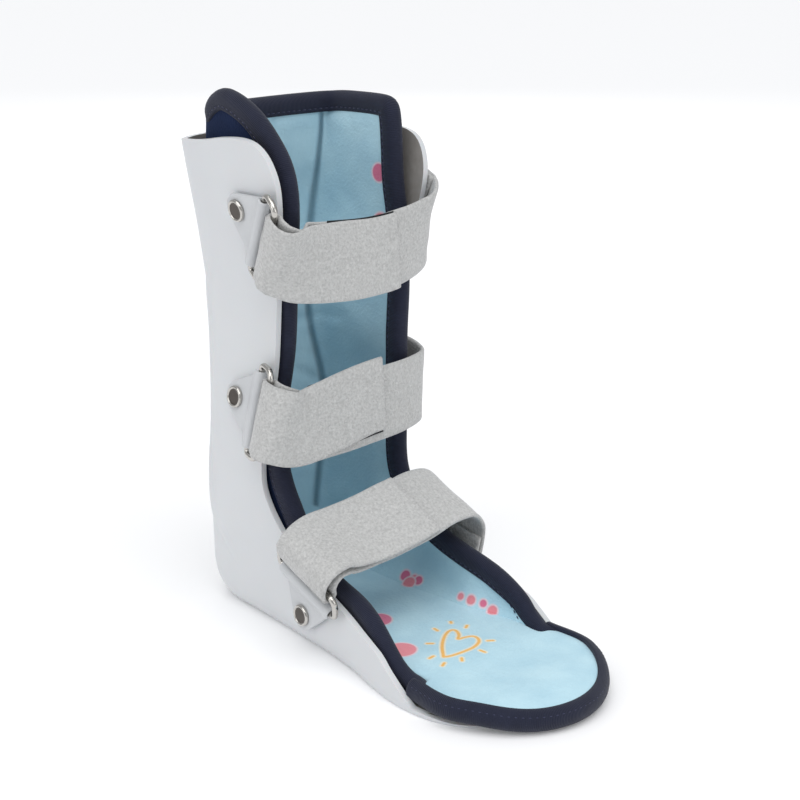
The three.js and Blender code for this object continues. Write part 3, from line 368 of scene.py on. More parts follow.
def wall_points(edge, corner_z, bottom_z, rows, columns, in_side, in_back, floor):
    """Half a wall from the middle of the back to a front edge, as rows from the bottom up. edge runs from
    behind the top to the toe; corner_z is the height of the point where its top turns into its front."""
    corner = max(k for k in range(len(edge)) if edge[k][1] >= corner_z and edge[k][0] > leg_y(0.5))
    top, front = edge[:corner + 1], edge[corner:][::-1]
    front = front[np.argsort(front[:, 1], kind="stable")]
    share = np.linspace(0, 1, rows) ** 0.92
    z_front = bottom_z + (front[-1, 1] - bottom_z) * share
    y_front = np.interp(z_front, front[:, 1], front[:, 0])
    z_back = bottom_z + (edge[0][1] - bottom_z) * share
    u = np.linspace(0, 1, columns)
    near_top = smooth(share, 0.72, 1.0)[:, None]
    way = way_at(y_front, z_front, floor)[:, None] * u
    plain = z_back[:, None] + (z_front - z_back)[:, None] * u
    z = np.tile(z_front[:, None], columns)
    for _ in range(3):
        _, y = outline(way, z, 0, 0, floor)
        rim = np.interp(y, top[:, 0], top[:, 1])
        z = plain + near_top * (rim - (edge[0][1] + (front[-1, 1] - edge[0][1]) * u))
    x, y = outline(way, z, in_side(z), in_back(z), floor)
    return np.stack([x, y, z], axis=2)


def mirrored(half):
    """The other half of a wall: the same rows with x turned over, in the order that leads into the first"""
    other = half[:, ::-1].copy()
    other[:, :, 0] *= -1
    return other


def same(value):
    return lambda z: np.full_like(z, value)


WALL_COLUMNS = 84
WALL_ROWS = 132
PLATE_RISE = [0.0, 0.12, 0.45, 1.0, 1.9, SHELL_WALL]
right_edge = spline(edge_yz(SHELL_RIGHT_EAR + SHELL_LEG_EDGE, SHELL_FOOT_EDGE), 400)
left_edge = spline(edge_yz(SHELL_LEFT_EAR + SHELL_LEG_EDGE, SHELL_FOOT_EDGE), 400)
right_wall, left_wall = (
    wall_points(edge, LEG_HEIGHT * corner, SHELL_WALL, WALL_ROWS, WALL_COLUMNS, same(0.0), same(0.0), 0.0)
    for edge, corner in ((right_edge, 1.004), (left_edge, 0.985)))
left_wall = mirrored(left_wall)
shell_wall = np.concatenate([left_wall, right_wall[:, 1:]], axis=1)
shell_bm = grid_of(shell_wall)

# The sole: rings from the middle of the plate out to its edge, then up the rolled edge to the wall's start
NOSE_COLUMNS = 30
end_way = way_at(np.array([right_edge[-1, 0]]), np.array([SHELL_WALL]))[0]
half_ways = np.concatenate([np.linspace(0, end_way, WALL_COLUMNS), np.linspace(end_way, 3, NOSE_COLUMNS)[1:]])
sole_rings = []
for share in (0.02, 0.25, 0.5, 0.75, 0.9, 1.0):
    x, y = outline(half_ways, np.zeros_like(half_ways))
    spine = np.clip(y, HEEL_Y + 34, HEEL_Y + SOLE_LENGTH - 30)
    sole_rings.append(np.stack([x * share, spine + (y - spine) * share, np.zeros_like(x)], axis=1))
past_edge = np.clip((half_ways - end_way) / (3 - end_way), 0, 1)
for rise in PLATE_RISE[1:]:
    z = rise * (1 - 0.55 * smooth(past_edge, 0.0, 0.35))
    x, y = outline(half_ways, z)
    sole_rings.append(np.stack([x, y, z], axis=1))
sole_half = np.array(sole_rings)
sole_full = np.concatenate([mirrored(sole_half), sole_half[:, 1:]], axis=1)
grid_of(sole_full, bm=shell_bm)
bmesh.ops.remove_doubles(shell_bm, verts=shell_bm.verts, dist=0.02)
bmesh.ops.recalc_face_normals(shell_bm, faces=shell_bm.faces)
shell_bm.normal_update()
lowest = min(shell_bm.faces, key=lambda face: face.calc_center_median().z)
if lowest.normal.z > 0:
    bmesh.ops.reverse_faces(shell_bm, faces=shell_bm.faces)

# Rib: around is 0 at the middle of the back and 1 at the rounded corner's end, up a share of the leg's height
RIB_WIDTH = 9.0
RIB_RISE = 1.8
RIB_PATH = [(0.98, 0.780), (0.86, 0.741), (0.71, 0.671), (0.60, 0.580), (0.51, 0.498), (0.48, 0.407),
            (0.56, 0.325), (0.76, 0.220), (0.94, 0.165), (1.10, 0.105)]
CORNER_ROUND = (LEG_WIDTH / 2 + HEEL_CORNER) * 0.75


def rib_point(around, up):
    """The CAD model's place of the rib, by the same way round the corner"""
    z = up * LEG_HEIGHT
    back = float(back_y(np.array(z)))
    turn = min(around, 1) * math.pi / 2
    past = max(around - 1, 0) * CORNER_ROUND
    y = back + HEEL_CORNER * (1 - math.cos(turn) ** (2 / CORNER_POWER)) + past
    half = float(side_x(np.array(max(y, back + HEEL_CORNER)), np.array(z)))
    return (half * math.sin(turn) ** (2 / CORNER_POWER), y, z)


rib_line = spline([rib_point(*row) for row in RIB_PATH], 160)
rib_share = np.linspace(0, 1, len(rib_line))
near_rib = [vert for vert in shell_bm.verts if -50 < vert.co.y < 20 and vert.co.z > 8]
rib_away = np.array([[abs(vert.co.x), vert.co.y, vert.co.z] for vert in near_rib])[:, None] - rib_line
rib_away = np.linalg.norm(rib_away, axis=2)
for vert, k, away in zip(near_rib, rib_away.argmin(axis=1), rib_away.min(axis=1)):
    if away < RIB_WIDTH:
        fade = math.sin(math.pi * rib_share[k]) ** 0.6
        profile = 1 - float(smooth(away, RIB_WIDTH * 0.12, RIB_WIDTH * 0.55))
        vert.co += vert.normal * RIB_RISE * profile * fade

polypropylene, plastic_shader = new_material(
    "pressed polypropylene", "#cfd1d4", 0.42, Specular_IOR_Level=0.45, Coat_Weight=0.05, Coat_Roughness=0.4,
    Subsurface_Weight=0.06, Subsurface_Scale=0.004)
# Pressed sheet: an even satin with a faint orange peel about 2 mm across and a few pale scuffs
place = object_place(polypropylene)
peel = add_node(polypropylene, "ShaderNodeTexNoise", Vector=place, Scale=420.0, Detail=3.0)
cloud = add_node(polypropylene, "ShaderNodeTexNoise", Vector=place, Scale=18.0, Detail=2.0)
tone = toned(polypropylene, cloud.outputs["Fac"], "#c9cbce", "#d6d8da")
link(polypropylene, tone, plastic_shader.inputs["Base Color"])
gloss = add_node(polypropylene, "ShaderNodeMapRange", Value=peel.outputs["Fac"], To_Min=0.36, To_Max=0.5)
link(polypropylene, gloss.outputs["Result"], plastic_shader.inputs["Roughness"])
raised(polypropylene, plastic_shader, peel.outputs["Fac"], 0.08, 0.0002)

# The inside was against the form and is rougher and duller; its darker grey-brown is painted shade, since
# little light reaches the inside of the shell
shell_inside_painted_shade, shell_inside_shade_shader = new_material("polypropylene inside, rough, painted shade", "#8f8b87", 0.7,
                                      Specular_IOR_Level=0.25)
skin = add_node(shell_inside_painted_shade, "ShaderNodeTexNoise", Vector=object_place(shell_inside_painted_shade), Scale=300.0, Detail=3.0)
tone = toned(shell_inside_painted_shade, skin.outputs["Fac"], "#85817d", "#9a9692")
link(shell_inside_painted_shade, tone, shell_inside_shade_shader.inputs["Base Color"])
shell_piece = new_piece("shell_smooth", shell_bm, polypropylene, shell_inside_painted_shade)
wall = shell_piece.modifiers.new("wall", "SOLIDIFY")
wall.thickness = SHELL_WALL * MM
wall.offset = -1
wall.use_even_offset = True
# the inner faces take the material with the painted shade
wall.material_offset = 1
buffed = shell_piece.modifiers.new("buffed_edges", "BEVEL")
buffed.width = 1.0 * MM
buffed.segments = 3
buffed.limit_method = "ANGLE"
buffed.angle_limit = math.radians(55)

# Cut-outs behind, across as a share of the leg's width and up as a share of its height
PENGUIN = [(0.062, 0.933), (0.110, 0.923), (0.134, 0.897), (0.138, 0.857), (0.160, 0.815), (0.169, 0.788),
           (0.138, 0.793), (0.123, 0.770), (0.072, 0.750), (0.081, 0.734), (0.002, 0.736), (-0.147, 0.733),
           (-0.127, 0.752), (-0.165, 0.773), (-0.183, 0.792), (-0.206, 0.793), (-0.220, 0.785),
           (-0.208, 0.811),
           (-0.169, 0.836), (-0.116, 0.859), (-0.093, 0.883), (-0.076, 0.911), (-0.029, 0.928)]
DOLPHIN = [(0.013, 0.670), (-0.013, 0.659), (0.051, 0.641), (0.072, 0.612), (0.072, 0.576), (0.054, 0.561),
           (0.081, 0.538), (0.047, 0.550), (-0.002, 0.552), (0.029, 0.564), (0.045, 0.575), (0.006, 0.593),
           (-0.073, 0.602), (-0.194, 0.601), (-0.213, 0.609), (-0.188, 0.624), (-0.146, 0.647),
           (-0.058, 0.656),
           (-0.033, 0.666)]
SHARP_PENGUIN = {5, 8, 9, 11, 12, 16}
SHARP_DOLPHIN = {0, 1, 6, 8, 13}
PETALS = {"across": -0.012, "up": 0.415, "reach": 15.0, "width": 8.0, "hub": 1.3,
          "turns": (40, 130, 220, 310)}
EGG = {"across": 0.017, "up": 0.229, "width": 24.5, "height": 28.0}


def rounded_contour(rows, sharp):
    """Points of a contour with its corners rounded, apart from the sharp ones"""
    corners = [Vector((a * LEG_WIDTH, u * LEG_HEIGHT)) for a, u in rows]
    contour = []
    for k, corner in enumerate(corners):
        before, after = corners[k - 1], corners[(k + 1) % len(corners)]
        if k in sharp:
            contour.append(corner)
            continue
        start, end = corner.lerp(before, 0.4), corner.lerp(after, 0.4)
        for t in (0.0, 0.25, 0.5, 0.75, 1.0):
            contour.append(start.lerp(corner, t).lerp(corner.lerp(end, t), t))
    return contour


def ellipse(x, z, half_width, half_height, count=48):
    turns = [2 * math.pi * k / count for k in range(count)]
    return [Vector((x + half_width * math.cos(t), z + half_height * math.sin(t))) for t in turns]


def petal(turn):
    middle = Vector((PETALS["across"] * LEG_WIDTH, PETALS["up"] * LEG_HEIGHT))
    radius = PETALS["width"] / 2
    inner = PETALS["reach"] * 0.3
    round_end = [math.radians(-110 + k * 220 / 12) for k in range(13)]
    shape = [Vector((inner + radius - radius * math.cos(t), radius * math.sin(t))) for t in round_end]
    shape.append(Vector((PETALS["reach"] * 0.86, radius * 0.95)))
    shape.append(Vector((PETALS["reach"] + 1, PETALS["width"] * 0.35)))
    turned = Matrix.Rotation(math.radians(turn), 2)
    return [middle + turned @ point for point in shape]


hub_at = (PETALS["across"] * LEG_WIDTH, PETALS["up"] * LEG_HEIGHT)
contours = [rounded_contour(PENGUIN, SHARP_PENGUIN), rounded_contour(DOLPHIN, SHARP_DOLPHIN),
            ellipse(EGG["across"] * LEG_WIDTH, EGG["up"] * LEG_HEIGHT, EGG["width"] / 2, EGG["height"] / 2),
            ellipse(*hub_at, PETALS["hub"], PETALS["hub"], 16), *[petal(turn) for turn in PETALS["turns"]]]
cutter_bm = bmesh.new()
for contour in contours:
    ring = [cutter_bm.verts.new((point.x, HEEL_Y - 14, point.y)) for point in contour]
    face = cutter_bm.faces.new(ring)
    through = bmesh.ops.extrude_face_region(cutter_bm, geom=[face])["geom"]
    far_side = [vert for vert in through if isinstance(vert, bmesh.types.BMVert)]
    bmesh.ops.translate(cutter_bm, vec=(0, 24, 0), verts=far_side)
bmesh.ops.recalc_face_normals(cutter_bm, faces=cutter_bm.faces)
bmesh.ops.scale(cutter_bm, vec=(MM, MM, MM), verts=cutter_bm.verts)
cutter_mesh = bpy.data.meshes.new("cutter")
cutter_bm.to_mesh(cutter_mesh)
cutter_bm.free()
cutter = bpy.data.objects.new("cutter", cutter_mesh)
bpy.context.scene.collection.objects.link(cutter)


def apply_modifiers(piece):
    """Makes the mesh of a piece what its modifiers show"""
    graph = bpy.context.evaluated_depsgraph_get()
    finished = bpy.data.meshes.new_from_object(piece.evaluated_get(graph))
    piece.modifiers.clear()
    piece.data = finished


cut = shell_piece.modifiers.new("cut_outs", "BOOLEAN")
cut.object = cutter
cut.operation = "DIFFERENCE"
cut.solver = "EXACT"
apply_modifiers(shell_piece)
bpy.data.objects.remove(cutter)
shell_piece.data.set_sharp_from_angle(angle=math.radians(38))
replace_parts(shell_piece, "shell")

# Liner.
# A sheet of foam 8 mm thick, navy velour outside and pale blue plush inside, bent round the leg, with a sewn
# crease down the left corner behind. Its front flaps are cut round on the right and square on the left.
LINER_HEIGHT = 258.5
LINER_PAD = 8.0
LINER_IN = SHELL_WALL + 1.8
BEAD_RADIUS = 4.6
LINER_RIGHT_LEG = [(0.20, 1.000), (0.30, 1.022), (0.41, 1.036), (0.54, 1.029), (0.69, 1.006), (0.83, 0.966),
                   (0.94, 0.921), (0.985, 0.874), (0.985, 0.820), (0.945, 0.750), (0.888, 0.668),
                   (0.848, 0.585),
                   (0.816, 0.508), (0.802, 0.452), (0.806, 0.402), (0.828, 0.356), (0.875, 0.306)]
LINER_RIGHT_FOOT = [(-0.033, 0.95), (0.007, 0.81), (0.053, 0.71), (0.105, 0.635), (0.171, 0.575),
                    (0.237, 0.545),
                    (0.296, 0.51), (0.368, 0.435), (0.434, 0.33), (0.480, 0.25), (0.530, 0.20),
                    (0.585, 0.185)]
LINER_LEFT_LEG = [(0.20, 1.000), (0.45, 1.005), (0.70, 1.006), (0.785, 0.996), (0.822, 0.963), (0.838, 0.915),
                  (0.855, 0.848), (0.915, 0.770), (0.960, 0.686), (0.975, 0.617), (0.960, 0.520),
                  (0.925, 0.444),
                  (0.900, 0.378), (0.895, 0.316)]
LINER_LEFT_FOOT = [(-0.043, 0.97), (0.000, 0.84), (0.053, 0.73), (0.125, 0.64), (0.230, 0.57), (0.319, 0.52),
                   (0.401, 0.45), (0.477, 0.345), (0.530, 0.24), (0.585, 0.19)]


def top_lean(z):
    return smooth(z, LEG_HEIGHT * 0.82, LEG_HEIGHT * 1.06)


def liner_side(z, pad=0.0):
    return LINER_IN + 6.0 * top_lean(z) + pad


def liner_back(z, pad=0.0):
    return LINER_IN + 12.0 * top_lean(z) + pad


def inset(edge, distance):
    """An edge seen from the side moved in by a distance"""
    along = np.gradient(edge, axis=0)
    along /= np.linalg.norm(along, axis=1)[:, None]
    return edge + np.stack([along[:, 1], -along[:, 0]], axis=1) * distance


liner_right = spline(edge_yz(LINER_RIGHT_LEG, LINER_RIGHT_FOOT, LINER_HEIGHT), 500)
liner_left = spline(edge_yz(LINER_LEFT_LEG, LINER_LEFT_FOOT, LINER_HEIGHT), 500)
LINER_ROWS = 150
LINER_COLUMNS = 84


def liner_wall(pad, bottom):
    """Outside or inside of the liner's wall, left front edge to right front edge"""
    halves = []
    for edge, corner in ((liner_right, 0.945), (liner_left, 0.975)):
        halves.append(wall_points(inset(edge, BEAD_RADIUS), corner * LINER_HEIGHT, bottom, LINER_ROWS,
                                  LINER_COLUMNS, lambda z: liner_side(z, pad), lambda z: liner_back(z, pad),
                                  LINER_IN + pad))
    return np.concatenate([mirrored(halves[1]), halves[0][:, 1:]], axis=1)


# Folds of the lining: across and z of the middle, half length along the wall and up, and depth
FOLDS = [
    {"x": 12.0, "z": 150.0, "slope": 0.30, "long": 26.0, "wide": 3.2, "deep": 1.5},
    {"x": -14.0, "z": 138.0, "slope": -0.45, "long": 22.0, "wide": 3.0, "deep": 1.4},
    {"x": 3.0, "z": 88.0, "slope": 0.55, "long": 24.0, "wide": 2.6, "deep": 1.6},
    {"x": -12.0, "z": 80.0, "slope": -0.25, "long": 20.0, "wide": 3.0, "deep": 1.6},
    {"x": 16.0, "z": 76.0, "slope": 0.15, "long": 18.0, "wide": 2.4, "deep": 1.3},
    {"x": 0.0, "z": 64.0, "slope": -0.10, "long": 26.0, "wide": 3.0, "deep": 1.6},
    {"x": -18.0, "z": 112.0, "slope": 0.70, "long": 20.0, "wide": 3.4, "deep": 1.2},
    {"x": 18.0, "z": 120.0, "slope": -0.60, "long": 22.0, "wide": 3.4, "deep": 1.2},
]


def crease_share(x, y, z):
    """1 in the middle of the sewn crease down the left corner behind, 0 away from it"""
    half = float(read(LEG_LEVELS, 1, z / LEG_HEIGHT)) * LEG_WIDTH / 2 - float(liner_side(z, LINER_PAD))
    if y > -6 or z < 34 or x > 0:
        return 0.0
    return math.exp(-((x + half * 0.86 - 0.8 * math.sin(z * 0.05)) / 1.25) ** 2)


def fold_depth(x, y, z):
    """How far the lining is pulled in at a place by its folds and creases"""
    depth = 2.4 * crease_share(x, y, z)
    if y < 0 and z > 214:
        depth += 0.9 * math.exp(-(x / 1.6) ** 2)
    across = x if y < -8 else math.copysign(abs(x) + (y + 8) * 0.8, x)
    for fold in FOLDS:
        along = across - fold["x"]
        away = z - fold["z"] - along * fold["slope"]
        if abs(along) < fold["long"] and abs(away) < fold["wide"] * 2.5:
            swell = math.exp(-(away / fold["wide"]) ** 2)
            depth += fold["deep"] * swell * math.cos(along / fold["long"] * math.pi / 2)
    soft = noise.noise(Vector((x, y, z)) * 0.045) * 0.9 + noise.noise(Vector((x, y, z)) * 0.11) * 0.35
    return depth + soft


# The tape squeezes the foam where it grips it
EDGE_PINCH = 1.3
outside = liner_wall(0.0, SHELL_WALL + 0.6)
inside = liner_wall(LINER_PAD, SHELL_WALL + 4.0)


WALL_EASE = 45
EASE_FROM, EASE_TO = 196.0, 238.0


def relaxed(rows, passes=WALL_EASE):
    """The top of a wall or edge eased into a rounder plan behind, where no shell holds it"""
    rows = rows.copy()
    weight = smooth(rows[..., 2], EASE_FROM, EASE_TO) * smooth(-rows[..., 1], -4.0, 9.0) * 0.5
    for _ in range(passes):
        middle = (rows[..., :-2, :2] + rows[..., 2:, :2]) / 2 - rows[..., 1:-1, :2]
        rows[..., 1:-1, :2] += middle * weight[..., 1:-1, None]
    return rows


outside, inside = relaxed(outside), relaxed(inside)
# How much painted shade each place of the inside takes from the crease
crease_painted_shade = np.zeros(inside.shape[:2])
for j in range(inside.shape[0]):
    for k in range(inside.shape[1]):
        here = Vector(inside[j, k])
        way_out = Vector(outside[j, k] - inside[j, k])
        way_out.normalize()
        crease_painted_shade[j, k] = crease_share(*here)
        border = min(k, inside.shape[1] - 1 - k) / 12
        border = float(smooth(min(border, (inside.shape[0] - 1 - j) / 8), 0.0, 1.0))
        inside[j, k] = here + way_out * (fold_depth(*here) * border + EDGE_PINCH * (1 - border))
        outside[j, k] = Vector(outside[j, k]) - way_out * EDGE_PINCH * 0.5 * (1 - border)
liner_bm = grid_of(outside, uv_scale=(260.0, 300.0))
liner_bm = grid_of(inside, uv_scale=(260.0, 300.0), material=1, bm=liner_bm)
rims = [edge for edge in liner_bm.edges if edge.is_boundary]
bmesh.ops.bridge_loops(liner_bm, edges=rims)
bmesh.ops.recalc_face_normals(liner_bm, faces=liner_bm.faces)

# Dots printed on the plush of the wall: a place near it, radius and colour
CORAL = "#e8808a"
ROSE = "#dd5f86"
AMBER = "#f0b24a"
WALL_DOTS = [((-30, 17, 222), 4.4, ROSE), ((-30, 20, 198), 5.0, CORAL), ((30, 8, 236), 3.6, CORAL),
             ((26, -10, 150), 4.0, CORAL), ((-26, -8, 164), 4.4, ROSE), ((8, -26, 74), 4.2, ROSE),
             ((-16, -24, 98), 3.4, AMBER), ((30, 14, 60), 4.8, CORAL), ((-33, 44, 13), 2.8, ROSE),
             ((-33, 50, 12), 2.2, CORAL), ((-34, 55, 12), 2.4, ROSE), ((-36, 84, 12), 1.8, CORAL),
             ((-37, 90, 12), 2.4, CORAL), ((-37, 96, 12), 1.9, ROSE), ((-38, 102, 12), 2.6, CORAL)]
wall_places = inside.reshape(-1, 3)
dots = []
for place, radius, colour in WALL_DOTS:
    nearest = np.linalg.norm(wall_places - np.array(place), axis=1).argmin()
    dots.append((wall_places[nearest], radius, colour))


velour, velour_shader = new_material("brushed velour, navy", "#1b2d52", 0.9, Sheen_Weight=0.35,
                                     Sheen_Roughness=0.45, Specular_IOR_Level=0.2)
velour_shader.inputs["Sheen Tint"].default_value = linear("#5a6c94")
# Nap about 1 mm long lies in soft patches 10 mm across, so the navy shifts a little
place = object_place(velour)
nap = add_node(velour, "ShaderNodeTexNoise", Vector=place, Scale=900.0, Detail=2.0)
patch = add_node(velour, "ShaderNodeTexNoise", Vector=place, Scale=90.0, Detail=3.0)
tone = toned(velour, patch.outputs["Fac"], "#0f1a33", "#1b2a4c")
link(velour, tone, velour_shader.inputs["Base Color"])
raised(velour, velour_shader, nap.outputs["Fac"], 0.5, 0.0006)

plush, plush_shader = new_material("short plush, pale blue", "#b9dcea", 0.95, Sheen_Weight=0.4,
                                   Sheen_Roughness=0.5, Specular_IOR_Level=0.15)
plush_shader.inputs["Sheen Tint"].default_value = linear("#eef8fc")
# Pile about 1.5 mm across the tuft. Dots with a pale halo are printed into it; the printed heart and a painted
# shade down the liner's crease come from one colour attribute on the pieces.
place = object_place(plush)
tuft = add_node(plush, "ShaderNodeTexNoise", Vector=place, Scale=650.0, Detail=3.0)
patch = add_node(plush, "ShaderNodeTexNoise", Vector=place, Scale=60.0, Detail=3.0)
BED_DOTS = [((27.0, 103.0, 13.2), 7.0, CORAL), ((14.0, 72.0, 13.2), 6.0, ROSE),
            ((-26.0, 50.0, 13.2), 3.4, CORAL), ((2.0, 24.0, 13.2), 5.0, ROSE),
            ((12.0, -5.0, 13.2), 4.2, AMBER)]
HALO_WIDTH = 0.9
DOT_BLUR = 0.35
cloth_colour = toned(plush, patch.outputs["Fac"], "#aed2e1", "#bddeea", 0.3, 0.7)
for at, radius, colour in dots + BED_DOTS:
    away = add_node(plush, "ShaderNodeVectorMath", {"operation": "DISTANCE"}, i0=place,
                    i1=tuple(c * MM for c in at))
    for reach, tone in ((radius + HALO_WIDTH, "#e9cfd6"), (radius, colour)):
        cover = add_node(plush, "ShaderNodeMapRange", {"clamp": True}, Value=away.outputs["Value"],
                         From_Min=(reach + DOT_BLUR) * MM, From_Max=(reach - DOT_BLUR) * MM,
                         To_Min=0.0, To_Max=0.88)
        mixed = add_node(plush, "ShaderNodeMix", {"data_type": "RGBA"}, i0=cover.outputs["Result"],
                         i6=cloth_colour, i7=linear(tone))
        cloth_colour = mixed.outputs[2]
# The footbed's printed heart and the liner's painted crease shade, read from the vertices
print_and_shade_node = add_node(plush, "ShaderNodeAttribute", {"attribute_name": "print_and_painted_shade"})
mixed = add_node(plush, "ShaderNodeMix", {"data_type": "RGBA"}, i0=print_and_shade_node.outputs["Alpha"], i6=cloth_colour,
                 i7=print_and_shade_node.outputs["Color"])
link(plush, mixed.outputs[2], plush_shader.inputs["Base Color"])
raised(plush, plush_shader, tuft.outputs["Fac"], 0.55, 0.0007)

liner_piece = new_piece("liner_padded", liner_bm, velour, plush)
# Painted shade down the sewn crease: a darker blue over the plush, on the vertices of the inside, which were
# laid after those of the outside
shade = liner_piece.data.attributes.new("print_and_painted_shade", "FLOAT_COLOR", "POINT")
values = np.zeros((len(liner_piece.data.vertices), 4), np.float32)
values[:, :3] = linear("#4a6d80")[:3]
values[crease_painted_shade.size:crease_painted_shade.size * 2, 3] = crease_painted_shade.ravel() * 0.7
shade.data.foreach_set("color", values.ravel())
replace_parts(liner_piece, "liner")

# Footbed.
# A cut pad of the same foam and plush, sewn to the liner's sides and running out past the plate to the toe. A
# heart with short rays is printed where the toes lie.
BED_FLOOR = SHELL_WALL + 0.4
FOOTBED_HEIGHT = 9.0
TOE_WIDTH = 109.0
TOE_LENGTH = 68.0
TOE_THROAT = 36.5
toe_y = foot_y(1.0) - TOE_LENGTH


def toe_arc(inward, start, count):
    """The toe pad's edge in plan, moved inward; both its ends tuck in behind the shell's sides"""
    turns = np.radians(np.linspace(start, 180 - start, count))
    tuck_in = 5.4 * (1 - smooth(np.sin(turns), 0.05, 0.5))
    x = (TOE_WIDTH / 2 - inward - tuck_in) * np.cos(turns)
    return np.stack([x, toe_y + (TOE_LENGTH - inward) * np.sin(turns)], axis=1)


bed_in = LINER_IN + LINER_PAD - 0.4
BED_UNDER_TAPE = 3.4
rear_end = way_at(np.array([foot_y(0.53)]), np.array([BED_FLOOR]), 0.0)[0]
rear_way = np.linspace(0, rear_end, 90)
rear_x, rear_y = outline(rear_way, np.full(90, 9.0), bed_in, bed_in, 0.0)
toe = toe_arc(BED_UNDER_TAPE, 2, 61)
right_plan = np.concatenate([np.stack([rear_x, rear_y], axis=1), [[TOE_THROAT + 2.0, foot_y(0.585)]],
                             toe[:31]])
right_plan = spline(right_plan[::3].tolist() + [right_plan[-1].tolist()], 170)
plan = np.concatenate([right_plan, (right_plan * [-1, 1])[::-1][1:]])
bed_rings = []
bed_shares = [0.0, *np.linspace(0.03, 0.87, 31), 0.90, 0.93, 0.955, 0.975, 0.99, 1.0, 1.0, 0.985]
bed_heights = [*([1.0] * 32), 0.995, 0.98, 0.95, 0.89, 0.80, 0.66, 0.33, 0.0]
for share, height in zip(bed_shares, bed_heights):
    spine = np.clip(plan[:, 1], HEEL_Y + 45, foot_y(1.0) - 45)
    x = plan[:, 0] * share
    y = spine + (plan[:, 1] - spine) * share
    droop = smooth(y, foot_y(0.80), foot_y(1.0)) * 2.4
    crown = 0.8 * (1 - np.clip(np.abs(x) / 45, 0, 1) ** 2) + 0.5 * np.sin(y * 0.11 + 0.6) * np.cos(x * 0.05)
    z = BED_FLOOR + height * (FOOTBED_HEIGHT + crown) - droop * height
    bed_rings.append(np.stack([x, y, np.maximum(z, 1.2 + 2.2 * (y < HEEL_Y + SOLE_LENGTH))], axis=1))
bed_bm = grid_of(np.array(bed_rings), uv_scale=(100.0, 500.0))
bmesh.ops.remove_doubles(bed_bm, verts=bed_bm.verts, dist=0.02)
# The heart's drawn line and the middles of its rays, across and along from its own middle, in millimetres
HEART_AT = Vector((3.0, 117.0))
HEART_LINE = [(15.2, 5.6), (8.6, -2.4), (1.8, -8.6), (-4.3, -12.6), (-8.2, -13.2), (-8.8, -10.6),
              (-6.2, -6.3),
              (-2.9, -3.4), (-6.0, -2.6), (-9.8, -1.0), (-10.4, 2.0), (-7.8, 5.8), (-1.9, 8.2), (5.8, 8.2),
              (12.2, 7.2), (15.2, 5.6)]
RAYS = [(-14.2, -20.4), (-16.0, -11.2), (-13.0, 8.4), (-2.4, 13.8), (10.6, 13.2), (20.2, 10.8), (19.4, 1.8),
        (10.0, -9.4), (-2.9, -19.0)]
RAY_LENGTH = 2.7
near_heart = [edge for edge in bed_bm.edges
              if all((v.co.xy - HEART_AT).length < 27 and v.co.z > 8 for v in edge.verts)]
bmesh.ops.subdivide_edges(bed_bm, edges=near_heart, cuts=3, use_grid_fill=True)
bmesh.ops.recalc_face_normals(bed_bm, faces=bed_bm.faces)
heart_line = spline(HEART_LINE, 160)
ray_middles = np.array(RAYS, float)
ray_ways = ray_middles / np.linalg.norm(ray_middles, axis=1)[:, None]


def inked(flat):
    """How far a place on the footbed is from the nearest drawn line, less half the line's width"""
    away = np.linalg.norm(heart_line - flat, axis=1).min() - 0.85
    reach = np.clip(np.sum((flat - ray_middles) * ray_ways, axis=1), -RAY_LENGTH / 2, RAY_LENGTH / 2)
    return min(away, np.linalg.norm(flat - ray_middles - ray_ways * reach[:, None], axis=1).min() - 0.75)


bed_piece = new_piece("footbed_padded", bed_bm, plush)
ink = bed_piece.data.attributes.new("print_and_painted_shade", "FLOAT_COLOR", "POINT")
values = np.zeros((len(bed_piece.data.vertices), 4), np.float32)
for vert in bed_piece.data.vertices:
    at = vert.co / MM
    if at.z > 7 and (at.xy - HEART_AT).length < 26:
        away = inked(np.array(at.xy - HEART_AT))
        halo = 1 - smooth(away, 0.5, 1.1)
        body = 1 - smooth(away, -0.35, 0.35)
        tone = np.array(linear("#f0e3c4")) * (1 - body) + np.array(linear(AMBER)) * body
        values[vert.index] = [*tone[:3], halo * (0.7 + 0.25 * body)]
ink.data.foreach_set("color", values.ravel())
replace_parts(bed_piece, "footbed")

# Bindings.
# Ribbed navy tape folded over the raw edges of the liner and of the toe pad and sewn through with one row of
# lockstitch 3 mm long. The tape grips the foam, so the edge ends in a firm round bead.
binding_tape, tape_shader = new_material("ribbed binding tape, navy", "#1a1e31", 0.8, Sheen_Weight=0.12,
                                         Sheen_Roughness=0.5, Specular_IOR_Level=0.3)
# Ribs run across the tape 0.9 mm apart, drawn coarser than the real 0.4 mm so that they show
tape_uv = add_node(binding_tape, "ShaderNodeUVMap").outputs["UV"]
parts = add_node(binding_tape, "ShaderNodeSeparateXYZ", Vector=tape_uv)
turns = worked_out(binding_tape, "MULTIPLY", parts.outputs["X"], math.tau / 0.9)
raised(binding_tape, tape_shader, worked_out(binding_tape, "SINE", turns), 0.35, 0.0003)
place = object_place(binding_tape)
patch = add_node(binding_tape, "ShaderNodeTexNoise", Vector=place, Scale=160.0, Detail=3.0)
tone = toned(binding_tape, patch.outputs["Fac"], "#13172a", "#1f2439")
link(binding_tape, tone, tape_shader.inputs["Base Color"])
thread, _ = new_material("polyester thread, navy", "#272c4c", 0.6, Sheen_Weight=0.2)

# Section of a bound edge: e runs from the tape's edge, over the nose and back, h is the half thickness
TAPE_SIDE = [(-5.4, 0.86), (-4.6, 0.97), (-3.9, 0.98), (-3.5, 0.93), (-3.1, 0.98), (-2.0, 1.0), (-0.6, 1.0)]


